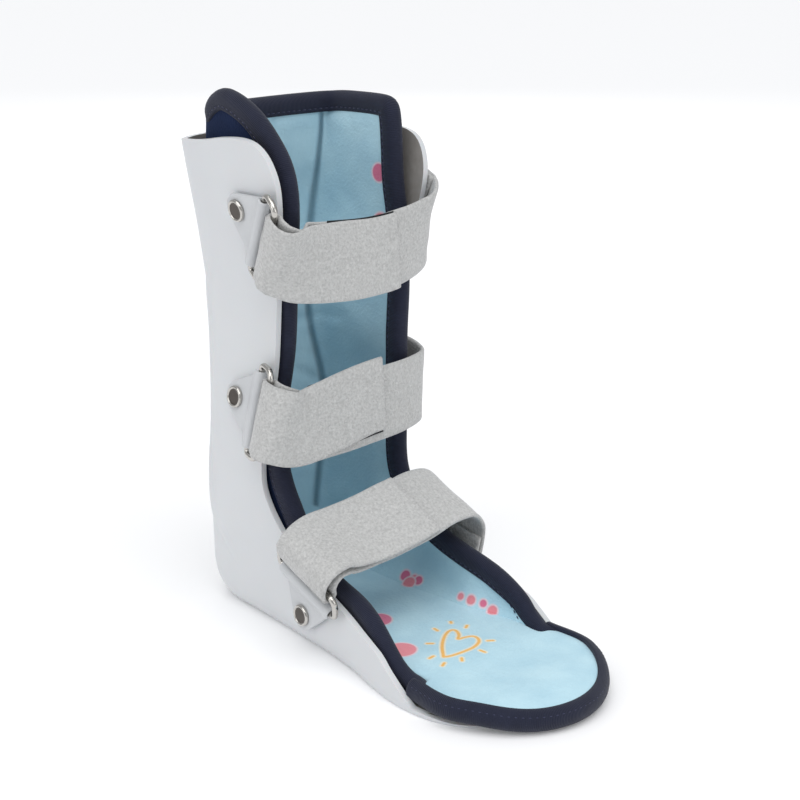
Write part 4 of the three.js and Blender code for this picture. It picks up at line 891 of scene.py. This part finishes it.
def tape_section(half_thick, reach, fold=1.0):
    """The folded tape's outline in its own directions: thickness, outward. fold is how deep it reaches in."""
    side = [(half_thick * h, e * fold) for e, h in TAPE_SIDE]
    nose = [(half_thick * math.cos(t), reach * math.sin(t)) for t in np.linspace(0.06, math.pi - 0.06, 11)]
    back = [(-h, e) for h, e in side[::-1]]
    return np.array(side + nose + back + [side[0]])


def swept(path, thick_way, section, closed=False):
    """Rows of points of a section carried along a path, with its frame at each row"""
    along = np.gradient(path, axis=0)
    if closed:
        along[0] = along[-1] = path[1] - path[-2]
    along /= np.linalg.norm(along, axis=1)[:, None]
    thick = thick_way - along * np.sum(thick_way * along, axis=1)[:, None]
    thick /= np.linalg.norm(thick, axis=1)[:, None]
    outward = np.cross(along, thick)
    sections = section if section.ndim == 3 else np.broadcast_to(section, (len(path), *section.shape))
    rows = path[:, None] + thick[:, None] * sections[:, :, :1] + outward[:, None] * sections[:, :, 1:]
    return rows, along, thick, outward


def capped(rows, uv_scale):
    bm = grid_of(rows, closed_across=True, uv_scale=uv_scale)
    bmesh.ops.holes_fill(bm, edges=[edge for edge in bm.edges if edge.is_boundary])
    bmesh.ops.recalc_face_normals(bm, faces=bm.faces)
    return bm


def stitches(bm, path, along, across, normal, pitch=3.2, long=2.1, wide=0.55, high=0.4):
    """A row of stitches on a path: small rounded bars"""
    gaps = np.linalg.norm(np.diff(path, axis=0), axis=1)
    length = np.concatenate([[0], np.cumsum(gaps)])
    for at in np.arange(pitch, length[-1] - pitch, pitch):
        place, t, a, n = (Vector([np.interp(at, length, values[:, k]) for k in range(3)])
                          for values in (path, along, across, normal))
        basis = Matrix((t.normalized() * long / 2, a.normalized() * wide / 2, n.normalized() * high))
        basis = basis.transposed().to_4x4()
        basis.translation = place
        made = bmesh.ops.create_icosphere(bm, subdivisions=1, radius=1.0, matrix=basis)["verts"]
        for vert in made:
            for face in vert.link_faces:
                face.smooth = True


def plan_normal(way, z):
    x0, y0 = outline_raw(np.clip(way - 0.01, 0, 3), z, LINER_IN)
    x1, y1 = outline_raw(np.clip(way + 0.01, 0, 3), z, LINER_IN)
    normal = np.stack([y1 - y0, -(x1 - x0), np.zeros_like(x0)], axis=1)
    normal[way <= 0.005] = (0, -1, 0)
    return normal / np.linalg.norm(normal, axis=1)[:, None]


def bound_edge(edge, side):
    """Middle of the bead along one front edge, from the toe up and to the back, with the wall's normal"""
    line = inset(edge, BEAD_RADIUS)[::-4]
    line = line[line[:, 0] > leg_y(0.22)]
    ways = way_at(line[:, 0], line[:, 1], LINER_IN)
    half = LINER_PAD / 2
    side_in, back_in = liner_side(line[:, 1], half), liner_back(line[:, 1], half)
    x, y = outline(ways, line[:, 1], side_in, back_in, LINER_IN + half)
    normal = plan_normal(ways, line[:, 1]) * [side, 1, 1]
    return np.stack([x * side, y, line[:, 1]], axis=1), normal, ways[-1]


right_bead, right_normal, right_way = bound_edge(liner_right, 1)
left_bead, left_normal, left_way = bound_edge(liner_left, -1)
bead_z = LINER_HEIGHT - BEAD_RADIUS
back_ways = np.concatenate([np.linspace(right_way * 0.93, 0, 14), -np.linspace(0, left_way * 0.93, 14)[1:]])
back_z = np.full(len(back_ways), bead_z)
back_side = np.sign(back_ways + 1e-9)
back_x, back_line = outline(np.abs(back_ways), back_z, liner_side(bead_z, 4.0), liner_back(bead_z, 4.0),
                            LINER_IN)
back_bead = np.stack([back_x * back_side, back_line, back_z], axis=1)
back_normal = plan_normal(np.abs(back_ways), back_z)
back_normal[:, 0] *= back_side
# Both ends tuck under the toe's tape
tucks = [np.array([[side * 45.5, foot_y(0.615), 8.4, side * 6, 0, 0]]) for side in (1, -1)]
whole = np.concatenate([tucks[0], np.concatenate([right_bead, right_normal * 6], axis=1),
                        np.concatenate([back_bead, back_normal * 6], axis=1),
                        np.concatenate([left_bead, left_normal * 6], axis=1)[::-1], tucks[1]])
BEAD_STEPS = 620
TAPE_EASE = 42
whole = spline([whole[0].tolist(), *whole[1:-1:2].tolist(), whole[-1].tolist()], BEAD_STEPS)
for _ in range(3):
    whole[1:-1] = (whole[:-2] + 2 * whole[1:-1] + whole[2:]) / 4
whole[:, :3] = relaxed(whole[:, :3], TAPE_EASE)
for _ in range(30):
    whole[1:-1, 3:] = (whole[:-2, 3:] + 2 * whole[1:-1, 3:] + whole[2:, 3:]) / 4
bead_path, wall_normal = whole[:, :3], whole[:, 3:]
from_end = np.minimum(np.arange(BEAD_STEPS), np.arange(BEAD_STEPS)[::-1])
leg_sections = np.array([tape_section(BEAD_RADIUS - 0.1, BEAD_RADIUS, fold)
                         for fold in 0.2 + 0.8 * smooth(from_end, 4, 34)])
rows, along, thick, outward = swept(bead_path, wall_normal, leg_sections)
if outward[BEAD_STEPS // 2, 2] < 0:
    rows, along, thick, outward = swept(bead_path, -wall_normal, leg_sections)
leg_binding = new_piece("leg_binding_tape", capped(rows, (900.0, 30.0)), binding_tape)
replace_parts(leg_binding, "leg_binding")

stitch_bm = bmesh.new()
for side in (1, -1):
    line = bead_path + outward * -3.5 + thick * side * (BEAD_RADIUS - 0.35)
    stitches(stitch_bm, line, along, outward, thick * side)

# The toe's edge is taller, and droops past the plate until it all but lies on the floor
TOE_HALF_THICK = 5.4
TOE_FOLD = 0.22
TOE_STEPS = 220
NOSE_TURN = 0.95
arc = toe_arc(BEAD_RADIUS, 3.0, TOE_STEPS)
droop = smooth(arc[:, 1], HEEL_Y + SOLE_LENGTH - 12, foot_y(1.0) - 6)
toe_z = SHELL_WALL + 0.5 + TOE_HALF_THICK - droop * 2.7
toe_path = np.stack([arc[:, 0], arc[:, 1], toe_z], axis=1)
toe_section = tape_section(TOE_HALF_THICK, BEAD_RADIUS, TOE_FOLD)
upright = np.tile([0.0, 0.0, 1.0], (TOE_STEPS, 1))
rows, along, thick, outward = swept(toe_path, upright, toe_section)
if outward[TOE_STEPS // 2, 1] < 0:
    rows, along, thick, outward = swept(toe_path, -upright, toe_section)
toe_binding = new_piece("toe_binding_tape", capped(rows, (190.0, 32.0)), binding_tape)
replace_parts(toe_binding, "toe_binding")
up_side = 1 if thick[TOE_STEPS // 2, 2] > 0 else -1
out_share, up_share = math.sin(NOSE_TURN), up_side * math.cos(NOSE_TURN)
toe_out = outward * out_share + thick * up_share
toe_line = toe_path + outward * BEAD_RADIUS * out_share + thick * TOE_HALF_THICK * up_share
stitches(stitch_bm, toe_line - toe_out * 0.25, along, np.cross(toe_out, along), toe_out)
stitch_piece = new_piece("binding_stitches", stitch_bm, thread)

# Fastenings' places.
# Each strap starts at a rivet on the left of the shell and ends in a ring that a tab holds on its right. A
# seat is the shell's surface at a rivet with its normal and the direction that the band takes from it.
STRAP_WIDTH = 38.0
STRAP_THICK = 2.2
LAYER_GAP = 0.5
SEAT_GAP = 1.2
WIRE_RADIUS = 1.5
RING_DEPTH = 11.0
RING_TILT = 13.0
TAB_LENGTH = 16.5
TAB_THICK = 2.4
TAB_END_RADIUS = 8.0
TAB_HALF = STRAP_WIDTH / 2 + 0.8
CLEAR = 0.4
SLEEVE_RADIUS = WIRE_RADIUS + CLEAR + TAB_THICK / 2
BAR_HEIGHT = SEAT_GAP + SLEEVE_RADIUS
INNER_LAYER = SEAT_GAP + STRAP_THICK / 2
OUTER_LAYER = INNER_LAYER + STRAP_THICK + LAYER_GAP
ROUND_WIRE = WIRE_RADIUS + CLEAR + STRAP_THICK / 2


def seat(side, y, z, lean):
    def x_at(y, z):
        return float(side_x(np.array(float(y)), np.array(float(z))))
    slope_y = (x_at(y + 1, z) - x_at(y - 1, z)) / 2
    slope_z = (x_at(y, z + 1) - x_at(y, z - 1)) / 2
    out = Vector((side, -slope_y, -slope_z)).normalized()
    ahead = (Vector((0, 1, 0)) - out * out.y).normalized()
    up = Vector((side * slope_z, 0, 1)).normalized()
    up = (up - ahead * up.dot(ahead)).normalized()
    turn = math.radians(lean)
    along = ahead * math.cos(turn) + up * math.sin(turn)
    across = up * math.cos(turn) - ahead * math.sin(turn)
    return {"origin": Vector((side * x_at(y, z), y, z)), "out": out, "along": along, "across": across}


def seat_at(place, a, b, h):
    return place["origin"] + place["along"] * a + place["across"] * b + place["out"] * h


LEVELS = ["top", "middle", "bottom"]
TABS = [seat(1, leg_y(0.675), 0.892 * LEG_HEIGHT, -30), seat(1, leg_y(0.530), 0.492 * LEG_HEIGHT, -8),
        seat(1, foot_y(0.080), 0.290 * NOTCH_HEIGHT, 71)]
ENDS = [
    {"seat": seat(-1, leg_y(0.640), 0.880 * LEG_HEIGHT, -22.7),
     "back": 11.5, "front": 20, "aside": 0, "lap": 22},
    {"seat": seat(-1, leg_y(0.437), 0.492 * LEG_HEIGHT, 0),
     "back": 16.5, "front": 28, "aside": 0, "lap": 24},
    {"seat": seat(-1, foot_y(0.038), 0.335 * NOTCH_HEIGHT, 79),
     "back": 11.5, "front": 24, "aside": -7, "lap": 22},
]


def ring_frame(place):
    tilt = math.radians(RING_TILT)
    reach = place["along"] * math.cos(tilt) + place["out"] * math.sin(tilt)
    bar = seat_at(place, TAB_LENGTH, 0, BAR_HEIGHT)
    up = reach.cross(place["across"]).normalized()
    up *= math.copysign(1, up.dot(place["out"]))
    return {"bar": bar, "reach": reach, "up": up, "bow": bar + reach * RING_DEPTH}


# Straps.
# Loop webbing 38 mm wide, light grey and furry on both faces, folded under and riveted at its left end, run
# over the boot and back through its ring on to a strip of black hook tape.
# Rows: across as a share of the half width, ahead and up of the leg's or foot's sizes, lean in degrees
STRAP_WAYS = [
    {"foot": False, "free": 0.50, "lift": 0, "rows": [
        (-0.940, 0.935, 0.836, -18), (-0.790, 1.014, 0.816, -10), (-0.450, 1.052, 0.796, -3),
        (0.000, 1.062, 0.788, 2), (0.450, 1.052, 0.793, 2), (0.760, 1.028, 0.803, -8)]},
    {"foot": False, "free": 0.42, "lift": 6, "rows": [
        (-0.895, 0.884, 0.483, -2), (-0.790, 0.971, 0.477, -2), (-0.460, 1.017, 0.473, 0),
        (0.000, 1.023, 0.469, 2), (0.430, 0.994, 0.461, 2), (0.720, 0.948, 0.456, 0)]},
    {"foot": True, "free": 0.46, "lift": 0, "rows": [
        (-0.930, 0.140, 0.800, 74), (-0.760, 0.150, 0.900, 66), (-0.480, 0.158, 0.920, 60),
        (-0.120, 0.165, 0.885, 56), (0.260, 0.160, 0.840, 56), (0.600, 0.148, 0.805, 60),
        (0.820, 0.142, 0.785, 64)]},
]
FORTH_STEPS = 120


def half_turn(centre, along, out, radius, across, steps):
    """Half a turn of a band round a centre, from its inner side over its far side to its outer side"""
    turns = [k / steps * math.pi for k in range(steps + 1)]
    return [(centre - out * radius * math.cos(t) - along * radius * math.sin(t), across) for t in turns]


def strap_way(i):
    """Places of a strap's middle with its direction across, and the places between its two layers"""
    end, way, ring = ENDS[i], STRAP_WAYS[i], ring_frame(TABS[i])
    start, tab = end["seat"], TABS[i]
    main = [(seat_at(start, a, end["aside"], OUTER_LAYER), start["across"])
            for a in (-end["back"], 0, end["front"])]
    for across, ahead, up, lean in way["rows"]:
        width, y, z = ((SOLE_WIDTH, foot_y(ahead), up * NOTCH_HEIGHT) if way["foot"]
                       else (LEG_WIDTH, leg_y(ahead), up * LEG_HEIGHT))
        turn = math.radians(lean)
        main.append((Vector((across * width / 2, y, z)), Vector((0, -math.sin(turn), math.cos(turn)))))
    under = ring["bow"] - ring["up"] * ROUND_WIRE
    main.append((under + ring["reach"] * 6, tab["across"]))
    main.append((under, tab["across"]))
    line = spline([[*at, *(across * 8)] for at, across in main], FORTH_STEPS)
    forth = []
    for k in range(FORTH_STEPS):
        along = Vector(line[min(k + 1, FORTH_STEPS - 1)][:3] - line[max(k - 1, 0)][:3]).normalized()
        across = Vector(line[k][3:])
        across = (across - along * across.dot(along)).normalized()
        forth.append((Vector(line[k][:3]), across, across.cross(along)))
    middle = (INNER_LAYER + OUTER_LAYER) / 2
    fold = half_turn(seat_at(start, -end["back"], end["aside"], middle), start["along"], start["out"],
                     (OUTER_LAYER - INNER_LAYER) / 2, start["across"], 9)
    bow = half_turn(ring["bow"], ring["reach"], ring["up"], ROUND_WIRE, tab["across"], 14)
    lapped = [*np.linspace(end["lap"], 0, 8), *np.linspace(-2, -end["back"] + 1, 5)]
    laps = [(seat_at(start, a, end["aside"], INNER_LAYER), start["across"]) for a in lapped]
    last = round(FORTH_STEPS * (1 - way["free"]))
    back, between = [], []
    for k in range(FORTH_STEPS - 2, last - 1, -1):
        away = (FORTH_STEPS - k) / (FORTH_STEPS - last)
        apart = ROUND_WIRE * 2 + (STRAP_THICK + LAYER_GAP - ROUND_WIRE * 2) * float(smooth(away, 0.1, 0.6))
        lift = forth[k][1] * way["lift"] * float(smooth(away, 0.1, 1))
        back.append((forth[k][0] + forth[k][2] * apart + lift, forth[k][1]))
        if away > 0.42:
            midway = forth[k][2] * (STRAP_THICK + LAYER_GAP) / 2
            between.append((forth[k][0] + midway + lift * 0.5, forth[k][1]))
    places = laps + fold + [(at, across) for at, across, _ in forth[1:]] + bow[1:] + back
    return places, between


def band_rows(places, width, thick, wander=0.0, offset=0.0, seed=0.0):
    """Rows of a soft-edged flat band through places with their directions across"""
    path = np.array([[*at] for at, _ in places])
    across = np.array([[*way] for _, way in places])
    for _ in range(2):
        across[1:-1] = (across[:-2] + 2 * across[1:-1] + across[2:]) / 4
    gaps = np.linalg.norm(np.diff(path, axis=0), axis=1)
    length = np.concatenate([[0], np.cumsum(gaps)])
    half, soft = width / 2, thick / 2
    flat = np.linspace(-(half - soft), half - soft, 15)
    rim = np.linspace(-math.pi / 2, math.pi / 2, 6)[1:-1]
    section = [(a, -soft) for a in flat]
    section += [(half - soft + soft * math.cos(t), soft * math.sin(t)) for t in rim]
    section += [(a, soft) for a in flat[::-1]]
    section += [(-(half - soft) - soft * math.cos(t), -soft * math.sin(t)) for t in rim]
    section = np.array(section + [section[0]])
    sections = np.repeat(section[None], len(path), axis=0)
    sections[:, :, 0] += offset
    for k, at in enumerate(length):
        for m in range(len(section) - 1):
            shake = noise.noise(Vector((at * 0.07, section[m, 0] * 0.09, seed)))
            sections[k, m, 1] += shake * wander
            edge_shake = noise.noise(Vector((at * 0.05, seed, math.copysign(3, section[m, 0]))))
            sections[k, m, 0] += edge_shake * wander
        sections[k, -1] = sections[k, 0]
    rows, *_ = swept(path, across, sections)
    return rows, length[-1]


webbing, webbing_shader = new_material("loop webbing, light grey", "#cdcdce", 0.95, Sheen_Weight=0.5,
                                       Sheen_Roughness=0.55, Specular_IOR_Level=0.15)
webbing_shader.inputs["Sheen Tint"].default_value = linear("#f2f2f2")
# Brushed loops about 0.8 mm across over a weave whose ribs run along the band 1.6 mm apart
place = object_place(webbing)
loops = add_node(webbing, "ShaderNodeTexVoronoi", {"feature": "SMOOTH_F1"}, Vector=place, Scale=1100.0)
fuzz = add_node(webbing, "ShaderNodeTexNoise", Vector=place, Scale=700.0, Detail=4.0, Roughness=0.7)
patch = add_node(webbing, "ShaderNodeTexNoise", Vector=place, Scale=800.0, Detail=3.0)
band_uv = add_node(webbing, "ShaderNodeUVMap").outputs["UV"]
across_band = add_node(webbing, "ShaderNodeSeparateXYZ", Vector=band_uv).outputs["Y"]
ribs = worked_out(webbing, "SINE", worked_out(webbing, "MULTIPLY", across_band, math.tau / 1.6))
low_ribs = worked_out(webbing, "MULTIPLY", ribs, 0.10)
pile = worked_out(webbing, "ADD", loops.outputs["Distance"], fuzz.outputs["Fac"])
raised(webbing, webbing_shader, worked_out(webbing, "ADD", pile, low_ribs), 0.6, 0.0007)
speckle = worked_out(webbing, "ADD", patch.outputs["Fac"], fuzz.outputs["Fac"])
tone = toned(webbing, worked_out(webbing, "MULTIPLY", speckle, 0.5), "#a9a9a8", "#c6c6c5", 0.36, 0.64)
link(webbing, tone, webbing_shader.inputs["Base Color"])
hook_tape, _ = new_material("woven hook tape, black", "#15161c", 0.7)

for i, level in enumerate(LEVELS):
    places, between = strap_way(i)
    rows, length = band_rows(places, STRAP_WIDTH, STRAP_THICK, wander=0.45, seed=i * 5.0)
    girth = 2 * STRAP_WIDTH + 2 * STRAP_THICK
    strap = new_piece(f"strap_{level}_webbing", capped(rows, (length, girth)), webbing)
    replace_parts(strap, f"strap_{level}")
    rows, length = band_rows(between, STRAP_WIDTH - 1.0, 0.5, offset=1.0)
    hooks = new_piece(f"hook_tape_{level}", capped(rows, (length, 2 * STRAP_WIDTH)), hook_tape)

# Tabs, rings and rivets.
# Each tab is one strip of coated grey webbing, doubled round the straight bar of a nickel wire ring and
# riveted through the shell where it narrows. The rivets are nickel-plated caps with a raised rim round a
# dull, turned middle, closed on a washer inside.
vinyl, vinyl_shader = new_material("coated webbing, light grey", "#c3c5c8", 0.5, Specular_IOR_Level=0.4)
# A coated weave: a fine 0.7 mm grain under a satin skin
place = object_place(vinyl)
grain = add_node(vinyl, "ShaderNodeTexNoise", Vector=place, Scale=1400.0, Detail=2.0)
raised(vinyl, vinyl_shader, grain.outputs["Fac"], 0.15, 0.0002)
cloud = add_node(vinyl, "ShaderNodeTexNoise", Vector=place, Scale=60.0, Detail=2.0)
tone = toned(vinyl, cloud.outputs["Fac"], "#bcbec1", "#cbcdcf")
link(vinyl, tone, vinyl_shader.inputs["Base Color"])

nickel, nickel_shader = new_material("polished nickel plate", "#c2bfba", 0.18, Metallic=1.0)
# Plated and tumbled: bright, with a slight unevenness of gloss about 1 mm across
wear = add_node(nickel, "ShaderNodeTexNoise", Vector=object_place(nickel), Scale=900.0, Detail=2.0)
gloss = add_node(nickel, "ShaderNodeMapRange", Value=wear.outputs["Fac"], To_Min=0.12, To_Max=0.28)
link(nickel, gloss.outputs["Result"], nickel_shader.inputs["Roughness"])
turned, _ = new_material("turned nickel, dull", "#57524e", 0.34, Metallic=1.0)


def tab_half(a):
    """Half width of a tab: round where it is riveted, spreading to the ring's width"""
    corner_a = TAB_END_RADIUS * math.cos(math.radians(115))
    corner_half = TAB_END_RADIUS * math.sin(math.radians(115))
    if a < corner_a:
        return math.sqrt(max(TAB_END_RADIUS ** 2 - a * a, 0.8))
    return corner_half + (TAB_HALF - corner_half) * min((a - corner_a) / (TAB_LENGTH - corner_a), 1)


def tab_rows(place):
    layer = TAB_THICK / 2
    low, high = SEAT_GAP + layer / 2, SEAT_GAP + layer * 1.5
    radius = WIRE_RADIUS + CLEAR + layer / 2
    ends = [-7.9, -7.4, -6.6, -5.5, -4.4, *np.linspace(-3.2, TAB_LENGTH - 0.5, 14)]
    line = [(a, low, tab_half(a)) for a in ends]
    for turn in np.linspace(-80, 140, 16):
        t = math.radians(turn)
        line.append((TAB_LENGTH + radius * math.cos(t), BAR_HEIGHT + radius * math.sin(t), TAB_HALF))
    line += [(a, high, tab_half(a)) for a in ends[::-1] if a < TAB_LENGTH - 5]
    path = np.array([[*seat_at(place, a, 0, h)] for a, h, _ in line])
    across = np.tile([*place["across"]], (len(path), 1))
    flat = np.linspace(-1, 1, 9)
    rim = np.linspace(-math.pi / 2, math.pi / 2, 6)[1:-1]
    soft = layer / 2 - 0.02
    sections = []
    for _, _, half in line:
        section = [(a * (half - soft), -soft) for a in flat]
        section += [(half - soft + soft * math.cos(t), soft * math.sin(t)) for t in rim]
        section += [(a * (half - soft), soft) for a in flat[::-1]]
        section += [(-(half - soft) - soft * math.cos(t), -soft * math.sin(t)) for t in rim]
        sections.append(section + [section[0]])
    rows, *_ = swept(path, across, np.array(sections))
    return rows


def ring_path():
    """The ring's wire centre, across and out from the bar's middle: a D with round corners"""
    half = STRAP_WIDTH / 2 + 2.5 + WIRE_RADIUS
    bar_corner, bow_corner = WIRE_RADIUS * 1.7, RING_DEPTH * 0.45
    bow_middle = RING_DEPTH - bow_corner
    arcs = [(half - bar_corner, bar_corner, bar_corner, -90, 0),
            (half - bow_corner, bow_middle, bow_corner, 0, 90),
            (-half + bow_corner, bow_middle, bow_corner, 90, 180),
            (-half + bar_corner, bar_corner, bar_corner, 180, 270)]
    points = []
    for x, y, radius, start, end in arcs:
        for turn in np.linspace(math.radians(start), math.radians(end), 9):
            points.append((x + radius * math.cos(turn), y + radius * math.sin(turn)))
    return points + [points[0]]


RIVET_PROFILE = [(0.0, 1.35), (3.0, 1.38), (4.05, 1.33), (4.25, 1.5), (4.5, 1.74), (4.85, 1.78), (5.2, 1.5),
                 (5.45, 0.95), (5.5, 0.5), (5.42, 0.12), (5.2, 0.0)]
TURNED_RADIUS = 4.1


def rivet_piece(name, place, cap_height):
    """Washer, shank and cap, spun round the seat's normal"""
    washer = -SHELL_WALL - 0.3
    profile = [(r, cap_height + h) for r, h in RIVET_PROFILE]
    profile += [(2.0, cap_height), (2.0, washer), (4.4, washer), (4.4, washer - 1.0), (0.0, washer - 1.0)]
    bm = bmesh.new()
    verts = [bm.verts.new((r, 0, h)) for r, h in profile]
    edges = [bm.edges.new(pair) for pair in zip(verts, verts[1:])]
    bmesh.ops.spin(bm, geom=verts + edges, cent=(0, 0, 0), axis=(0, 0, 1), angle=math.tau, steps=40,
                   use_merge=True)
    bmesh.ops.remove_doubles(bm, verts=bm.verts, dist=1e-4)
    bmesh.ops.recalc_face_normals(bm, faces=bm.faces)
    for face in bm.faces:
        middle = face.calc_center_median()
        face.material_index = int(middle.xy.length < TURNED_RADIUS and middle.z > cap_height)
    turn = Vector((0, 0, 1)).rotation_difference(place["out"]).to_matrix().to_4x4()
    turn.translation = place["origin"]
    bmesh.ops.transform(bm, matrix=turn, verts=bm.verts)
    piece = new_piece(name, bm, nickel, turned)
    piece.data.set_sharp_from_angle(angle=math.radians(50))
    return piece


for i, level in enumerate(LEVELS):
    tab = new_piece(f"tab_{level}_strip", capped(tab_rows(TABS[i]), (60.0, 80.0)), vinyl)
    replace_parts(tab, f"tab_{level}")
    frame_here = ring_frame(TABS[i])
    wire = np.array([[*(frame_here["bar"] + TABS[i]["across"] * a + frame_here["reach"] * b)]
                     for a, b in ring_path()])
    round_wire = np.array([(WIRE_RADIUS * math.cos(t), WIRE_RADIUS * math.sin(t))
                           for t in np.linspace(0, math.tau, 15)])
    plane = np.tile([*TABS[i]["across"].cross(frame_here["reach"]).normalized()], (len(wire), 1))
    rows, *_ = swept(wire, plane, round_wire, closed=True)
    ring_bm = grid_of(rows, closed_across=True)
    bmesh.ops.recalc_face_normals(ring_bm, faces=ring_bm.faces)
    ring = new_piece(f"d_ring_{level}_wire", ring_bm, nickel)
    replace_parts(ring, f"d_ring_{level}")
    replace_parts(rivet_piece(f"tab_rivet_{level}_cap", TABS[i], SEAT_GAP + TAB_THICK + 0.1),
                f"tab_rivet_{level}")
    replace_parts(rivet_piece(f"strap_rivet_{level}_cap", ENDS[i]["seat"], OUTER_LAYER + STRAP_THICK / 2 - 0.1),
                f"strap_rivet_{level}")

# Labels.
# Two bare ribbons caught under the top binding behind: a blue satin one that lies flat and tucks into the
# shell, and a white one folded into a loop.
blue_satin, blue_shader = new_material("satin ribbon, blue", "#3a74d8", 0.42, Sheen_Weight=0.15,
                                       Specular_IOR_Level=0.5)
white_satin, white_shader = new_material("satin ribbon, white", "#f1f1f4", 0.45, Sheen_Weight=0.15,
                                         Specular_IOR_Level=0.5)
# Satin weave: long floats across the ribbon give fine lines 0.5 mm apart
for satin, shader in ((blue_satin, blue_shader), (white_satin, white_shader)):
    stretched = add_node(satin, "ShaderNodeMapping", Vector=object_place(satin))
    stretched.inputs["Scale"].default_value = (300.0, 300.0, 2600.0)
    floats = add_node(satin, "ShaderNodeTexNoise", Vector=stretched.outputs["Vector"], Scale=1.0, Detail=2.0)
    raised(satin, shader, floats.outputs["Fac"], 0.25, 0.0002)
LABEL_TOP = LINER_HEIGHT - BEAD_RADIUS * 2 - 0.8
LABEL_THICK = 0.8


def behind_at(x, z, off):
    """Place on the outside of the liner behind, off it by a distance"""
    ways = np.linspace(0, 1.2, 120)
    around, deep = outline(ways, np.full(120, float(z)), liner_side(z, -off), liner_back(z, -off), LINER_IN)
    return Vector((x, float(np.interp(abs(x), around, deep)), z))


# The blue label's ends as shares of the leg's width, and its height
BLUE_FROM, BLUE_TO = -0.375, -0.04
BLUE_HEIGHT = 19
rows = []
for u in np.linspace(0, 1, 40):
    x = (BLUE_FROM + (BLUE_TO - BLUE_FROM) * u) * LEG_WIDTH
    ripple = 0.5 * math.sin(u * 9.0)
    column = [behind_at(x, LABEL_TOP - BLUE_HEIGHT * v, 1.1 + ripple * v * (1 - v))
              for v in np.linspace(0, 1, 14)]
    rows.append([[*point] for point in column])
label_bm = grid_of(np.array(rows), uv_scale=(35.0, 19.0))
blue_label = new_piece("label_blue_ribbon", label_bm, blue_satin)
ribbon = blue_label.modifiers.new("ribbon", "SOLIDIFY")
ribbon.thickness = 0.5 * MM
ribbon.offset = 0
apply_modifiers(blue_label)
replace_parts(blue_label, "label_blue")

LOOP_DROP = 17.0
middle_x = -0.02 * LEG_WIDTH
surface = behind_at(middle_x, LABEL_TOP, 0)
surface.y = min(surface.y, behind_at(middle_x, LABEL_TOP - LOOP_DROP - 2, 0).y)
tilt = math.radians(14)
across = Vector((math.cos(tilt), 0, math.sin(tilt)))
down = Vector((math.sin(tilt), 0, -math.cos(tilt)))
near = 0.8 + LABEL_THICK * 1.7
far = near + LABEL_THICK * 2.5


def hang(depth, off):
    return (surface + down * depth + Vector((0, -off, 0)), across)


loop = [hang(d, near) for d in np.linspace(1.5, LOOP_DROP - 1, 12)]
loop += half_turn(hang(LOOP_DROP, (near + far) / 2)[0], -down, Vector((0, -1, 0)), (far - near) / 2,
                  across, 10)
loop += [hang(d, far + 0.5 * math.sin(d / LOOP_DROP * math.pi)) for d in np.linspace(LOOP_DROP - 1, 1.5, 12)]
rows, length = band_rows(loop, 21.0, 0.6, wander=0.3, seed=41.0)
white_label = new_piece("label_white_loop", capped(rows, (length, 43.0)), white_satin)
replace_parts(white_label, "label_white")

bpy.context.view_layer.update()
